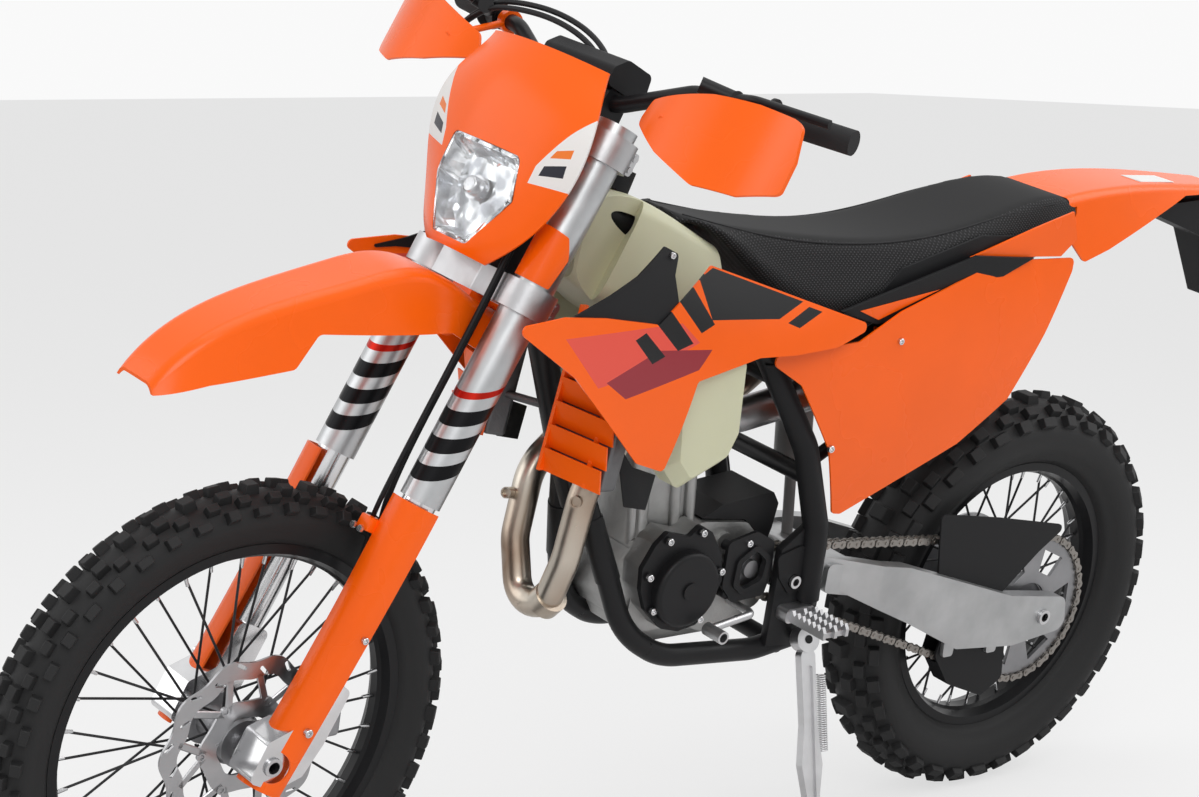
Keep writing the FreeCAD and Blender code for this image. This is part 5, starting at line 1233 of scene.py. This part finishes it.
class ENDURO_OT_trim(bpy.types.Operator):
    """Adds the lower radiator shield, the tail lamp, the blank plate and the stand's spring"""

    bl_idname = "enduro.trim"
    bl_label = "Trim"

    # seen from the left: x and z in millimetres
    SHIELD = ((1040, 815), (990, 749), (966, 721), (922, 705), (931, 654), (971, 663), (988, 718))

    # band under the seat: x and z, rear part and front part
    BAND = ((586, 912), (512, 888), (465, 892), (316, 943), (256, 948), (193, 974), (321, 983))
    WEDGE = ((551, 911), (510, 895), (391, 935))
    ARM = ((327, 979), (123, 971), (93, 997), (112, 1042), (188, 1021))
    FILLER = ((518, 914), (342, 950), (179, 964), (190, 1005), (304, 1010), (463, 967))

    def execute(self, context):
        self.shields()
        self.bands()
        self.tail()
        self.spring()
        return {"FINISHED"}

    def upright(self, corners, y, thick, name):
        """Flat plate of a side view, its outer face at Y, millimetres."""
        flat = outline_plate(name, [(x / 1000, z / 1000) for x, z in corners], thick / 1000, 0.0006)
        turn = Matrix.Rotation(math.pi / 2, 4, "X")
        shift = Matrix.Translation((0, (y if y > 0 else y + thick) / 1000, 0))
        return placed(flat, PARKED @ shift @ turn)

    def bands(self):
        """Dark band, bright wedge and fender arm between the seat and the side panels."""
        dark = joined([self.upright(self.BAND, s * 122, 6, "band") for s in (1, -1)]
                      + [self.upright(self.FILLER, s * 108, 4, "filler") for s in (1, -1)],
                      "seat_bands")
        dress(dark, finish_of("plastic_black"), "chassis")
        bright = joined([self.upright(self.WEDGE, s * 123, 6, "wedge") for s in (1, -1)]
                        + [self.upright(self.ARM, s * 114, 4, "arm") for s in (1, -1)],
                        "seat_wedges")
        dress(bright, finish_of("plastic_orange"), "chassis")

    def tail(self):
        """Blank label on the rear fender and the red lamp under its end."""
        place, up = landing("rear_fender", PARKED @ Vector((-0.168, 0.018, 1.4)),
                            LEANED.to_3x3() @ Vector((0, 0, -1)))
        label = slab("blank_label", (0.085, 0.042, 0.0012))
        pick(label, lambda middle, normal: normal.z > 0.9)
        bpy.ops.mesh.bevel(offset=0.0004, segments=2)
        leave_edit()
        placed(label, PARKED @ Matrix.Translation(PARKED.inverted() @ place)
               @ Matrix.Rotation(math.radians(-2), 4, "Y"))
        dress(label, finish_of("plastic_white"), "chassis")
        lamp = slab("tail_lamp", (0.016, 0.070, 0.024))
        pick(lamp, lambda middle, normal: normal.x < -0.9)
        bpy.ops.mesh.inset(thickness=0.003)
        bpy.ops.transform.translate(value=(-0.005, 0, 0))
        leave_edit()
        modified(lamp, "BEVEL", width=0.002, segments=2, limit_method="ANGLE")
        placed(lamp, PARKED @ Matrix.Translation((-0.342, 0, 1.000)))
        smooth(lamp, 35)
        dress(lamp, red_lens().material, "chassis")

    def shields(self):
        """Black plates below the shrouds, outside the radiators."""
        made = []
        for side in (1, -1):
            corners = [(x / 1000, z / 1000) for x, z in self.SHIELD]
            if side < 0:
                corners = corners[::-1]
            plate = outline_plate("shield", corners, 0.003, 0.0008)
            turn = Matrix.Rotation(math.pi / 2, 4, "X")
            made.append(placed(plate, PARKED @ Matrix.Translation((0, side * 0.150, 0)) @ turn))
        plates = joined(made, "radiator_shields")
        smooth(plates, 30)
        dress(plates, finish_of("plastic_black"), "chassis")

    def spring(self):
        """Coil spring beside the stand's leg."""
        deselect()
        bpy.ops.mesh.primitive_circle_add(vertices=8, radius=0.0013, location=(0.0065, 0, 0),
                                          rotation=(math.pi / 2, 0, 0))
        coil = placed(bpy.context.object)
        coil.name = "stand_spring"
        modified(coil, "SCREW", angle=math.tau, screw_offset=0.0034, iterations=34, steps=12,
                 render_steps=12, axis="Z")
        only(coil)
        bpy.ops.object.mode_set(mode="EDIT")
        bpy.ops.mesh.select_all(action="SELECT")
        bpy.ops.mesh.remove_doubles(threshold=0.00001)
        bpy.ops.mesh.normals_make_consistent(inside=False)
        leave_edit()
        top = Vector((0.526, 0.142, 0.375))
        foot = Vector((0.538, 0.196, 0.235))
        along = (top - foot).normalized()
        placed(coil, PARKED @ stood(foot, along))
        smooth(coil, 60)
        dress(coil, finish_of("stand_metal"), "stand")


class ENDURO_OT_stage(bpy.types.Operator):
    """Sets the floor, the lamps, the world and the photograph's camera"""

    bl_idname = "enduro.stage"
    bl_label = "Stage"

    def execute(self, context):
        self.floor()
        self.lamps()
        self.world(context)
        self.camera(context)
        context.scene.view_settings.view_transform = "Standard"
        return {"FINISHED"}

    def floor(self):
        deselect()
        bpy.ops.mesh.primitive_plane_add(size=60, location=(0, 0, 0))
        floor = bpy.context.object
        floor.name = "floor"
        nodes = Nodes("Floor")
        nodes.set(Base_Color=(*colours().backdrop, 1), Roughness=0.9, Specular_IOR_Level=0.1)
        tree = nodes.tree
        pale = tree.nodes.new("ShaderNodeEmission")
        pale.inputs["Color"].default_value = (0.95, 0.95, 0.95, 1)
        path = tree.nodes.new("ShaderNodeLightPath")
        seen = nodes.math("MULTIPLY", path.outputs["Is Camera Ray"], 0.7)
        mix = tree.nodes.new("ShaderNodeMixShader")
        nodes.link(seen, mix.inputs["Fac"])
        nodes.link(nodes.shader.outputs[0], mix.inputs[1])
        nodes.link(pale.outputs[0], mix.inputs[2])
        nodes.link(mix.outputs[0], tree.nodes["Material Output"].inputs["Surface"])
        floor.data.materials.append(nodes.material)

    def lamps(self):
        # name, place, size, watts
        rows = (("key", (2.6, 3.6, 3.6), 2.6, 95.0), ("fill", (3.4, -2.2, 2.4), 3.0, 30.0),
                ("back", (-3.2, 1.6, 3.2), 2.6, 50.0), ("top", (0.0, 0.4, 4.4), 3.2, 50.0))
        for name, place, size, watts in rows:
            deselect()
            bpy.ops.object.light_add(type="AREA", location=place)
            lamp = bpy.context.object
            lamp.name = name
            lamp.data.size = size
            lamp.data.energy = watts
            aim = (Vector((0, 0, 0.6)) - lamp.location).to_track_quat("-Z", "Y")
            lamp.rotation_euler = aim.to_euler()

    def world(self, context):
        world = bpy.data.worlds.new("Studio")
        world.use_nodes = True
        context.scene.world = world
        tree = world.node_tree
        ground = tree.nodes["Background"]
        ground.inputs["Color"].default_value = (1, 1, 1, 1)
        ground.inputs["Strength"].default_value = 0.42
        seen = tree.nodes.new("ShaderNodeBackground")
        seen.inputs["Color"].default_value = (0.95, 0.95, 0.95, 1)
        seen.inputs["Strength"].default_value = 1.0
        path = tree.nodes.new("ShaderNodeLightPath")
        either = tree.nodes.new("ShaderNodeMath")
        either.operation = "MAXIMUM"
        tree.links.new(path.outputs["Is Camera Ray"], either.inputs[0])
        tree.links.new(path.outputs["Is Glossy Ray"], either.inputs[1])
        also = tree.nodes.new("ShaderNodeMath")
        also.operation = "MAXIMUM"
        tree.links.new(either.outputs[0], also.inputs[0])
        tree.links.new(path.outputs["Is Transmission Ray"], also.inputs[1])
        mix = tree.nodes.new("ShaderNodeMixShader")
        tree.links.new(also.outputs[0], mix.inputs["Fac"])
        tree.links.new(ground.outputs[0], mix.inputs[1])
        tree.links.new(seen.outputs[0], mix.inputs[2])
        tree.links.new(mix.outputs[0], tree.nodes["World Output"].inputs["Surface"])

    def camera(self, context):
        deselect()
        bpy.ops.object.camera_add()
        camera = bpy.context.object
        camera.name = "photo_camera"
        turn = (Matrix.Rotation(CAMERA_YAW - math.pi / 2, 4, "Z")
                @ Matrix.Rotation(math.pi / 2 - CAMERA_DOWN, 4, "X")
                @ Matrix.Rotation(CAMERA_ROLL, 4, "Z"))
        camera.matrix_world = Matrix.Translation(CAMERA_SPOT + SHIFT) @ turn
        camera.data.lens = FOCAL_PIXELS / PHOTO_SIZE[0] * camera.data.sensor_width
        camera.data.shift_x = -(CENTRE_PIXEL[0] - PHOTO_SIZE[0] / 2) / PHOTO_SIZE[0]
        camera.data.shift_y = (CENTRE_PIXEL[1] - PHOTO_SIZE[1] / 2) / PHOTO_SIZE[0]
        camera.data.clip_end = 60
        context.scene.camera = camera


OPERATORS = (ENDURO_OT_finishes, ENDURO_OT_tyres, ENDURO_OT_chain, ENDURO_OT_frame,
             ENDURO_OT_exhaust, ENDURO_OT_seat, ENDURO_OT_lamp, ENDURO_OT_hardware, ENDURO_OT_rotor, ENDURO_OT_cables, ENDURO_OT_trim,
             ENDURO_OT_stage)


class ENDURO_PT_panel(bpy.types.Panel):
    """Lists the bike's colours, sizes and pieces"""

    bl_idname = "ENDURO_PT_panel"
    bl_label = "Enduro"
    bl_space_type = "VIEW_3D"
    bl_region_type = "UI"
    bl_category = "Enduro"

    def draw(self, context):
        for group in (context.scene.enduro_colours, context.scene.enduro_sizes):
            for key in group.__annotations__:
                self.layout.prop(group, key)
        for operator in OPERATORS:
            self.layout.operator(operator.bl_idname)


CLASSES = (EnduroColours, EnduroSizes, *OPERATORS, ENDURO_PT_panel)


def register():
    for cls in CLASSES:
        bpy.utils.register_class(cls)
    bpy.types.Scene.enduro_colours = bpy.props.PointerProperty(type=EnduroColours)
    bpy.types.Scene.enduro_sizes = bpy.props.PointerProperty(type=EnduroSizes)


def unregister():
    del bpy.types.Scene.enduro_colours
    del bpy.types.Scene.enduro_sizes
    for cls in reversed(CLASSES):
        bpy.utils.unregister_class(cls)


def main():
    register()
    bpy.ops.enduro.finishes()
    bpy.ops.enduro.tyres()
    bpy.ops.enduro.chain()
    bpy.ops.enduro.frame()
    bpy.ops.enduro.exhaust()
    bpy.ops.enduro.seat()
    bpy.ops.enduro.lamp()
    bpy.ops.enduro.hardware()
    bpy.ops.enduro.rotor()
    bpy.ops.enduro.cables()
    bpy.ops.enduro.trim()
    bpy.ops.enduro.stage()


if __name__ == "__main__":
    main()
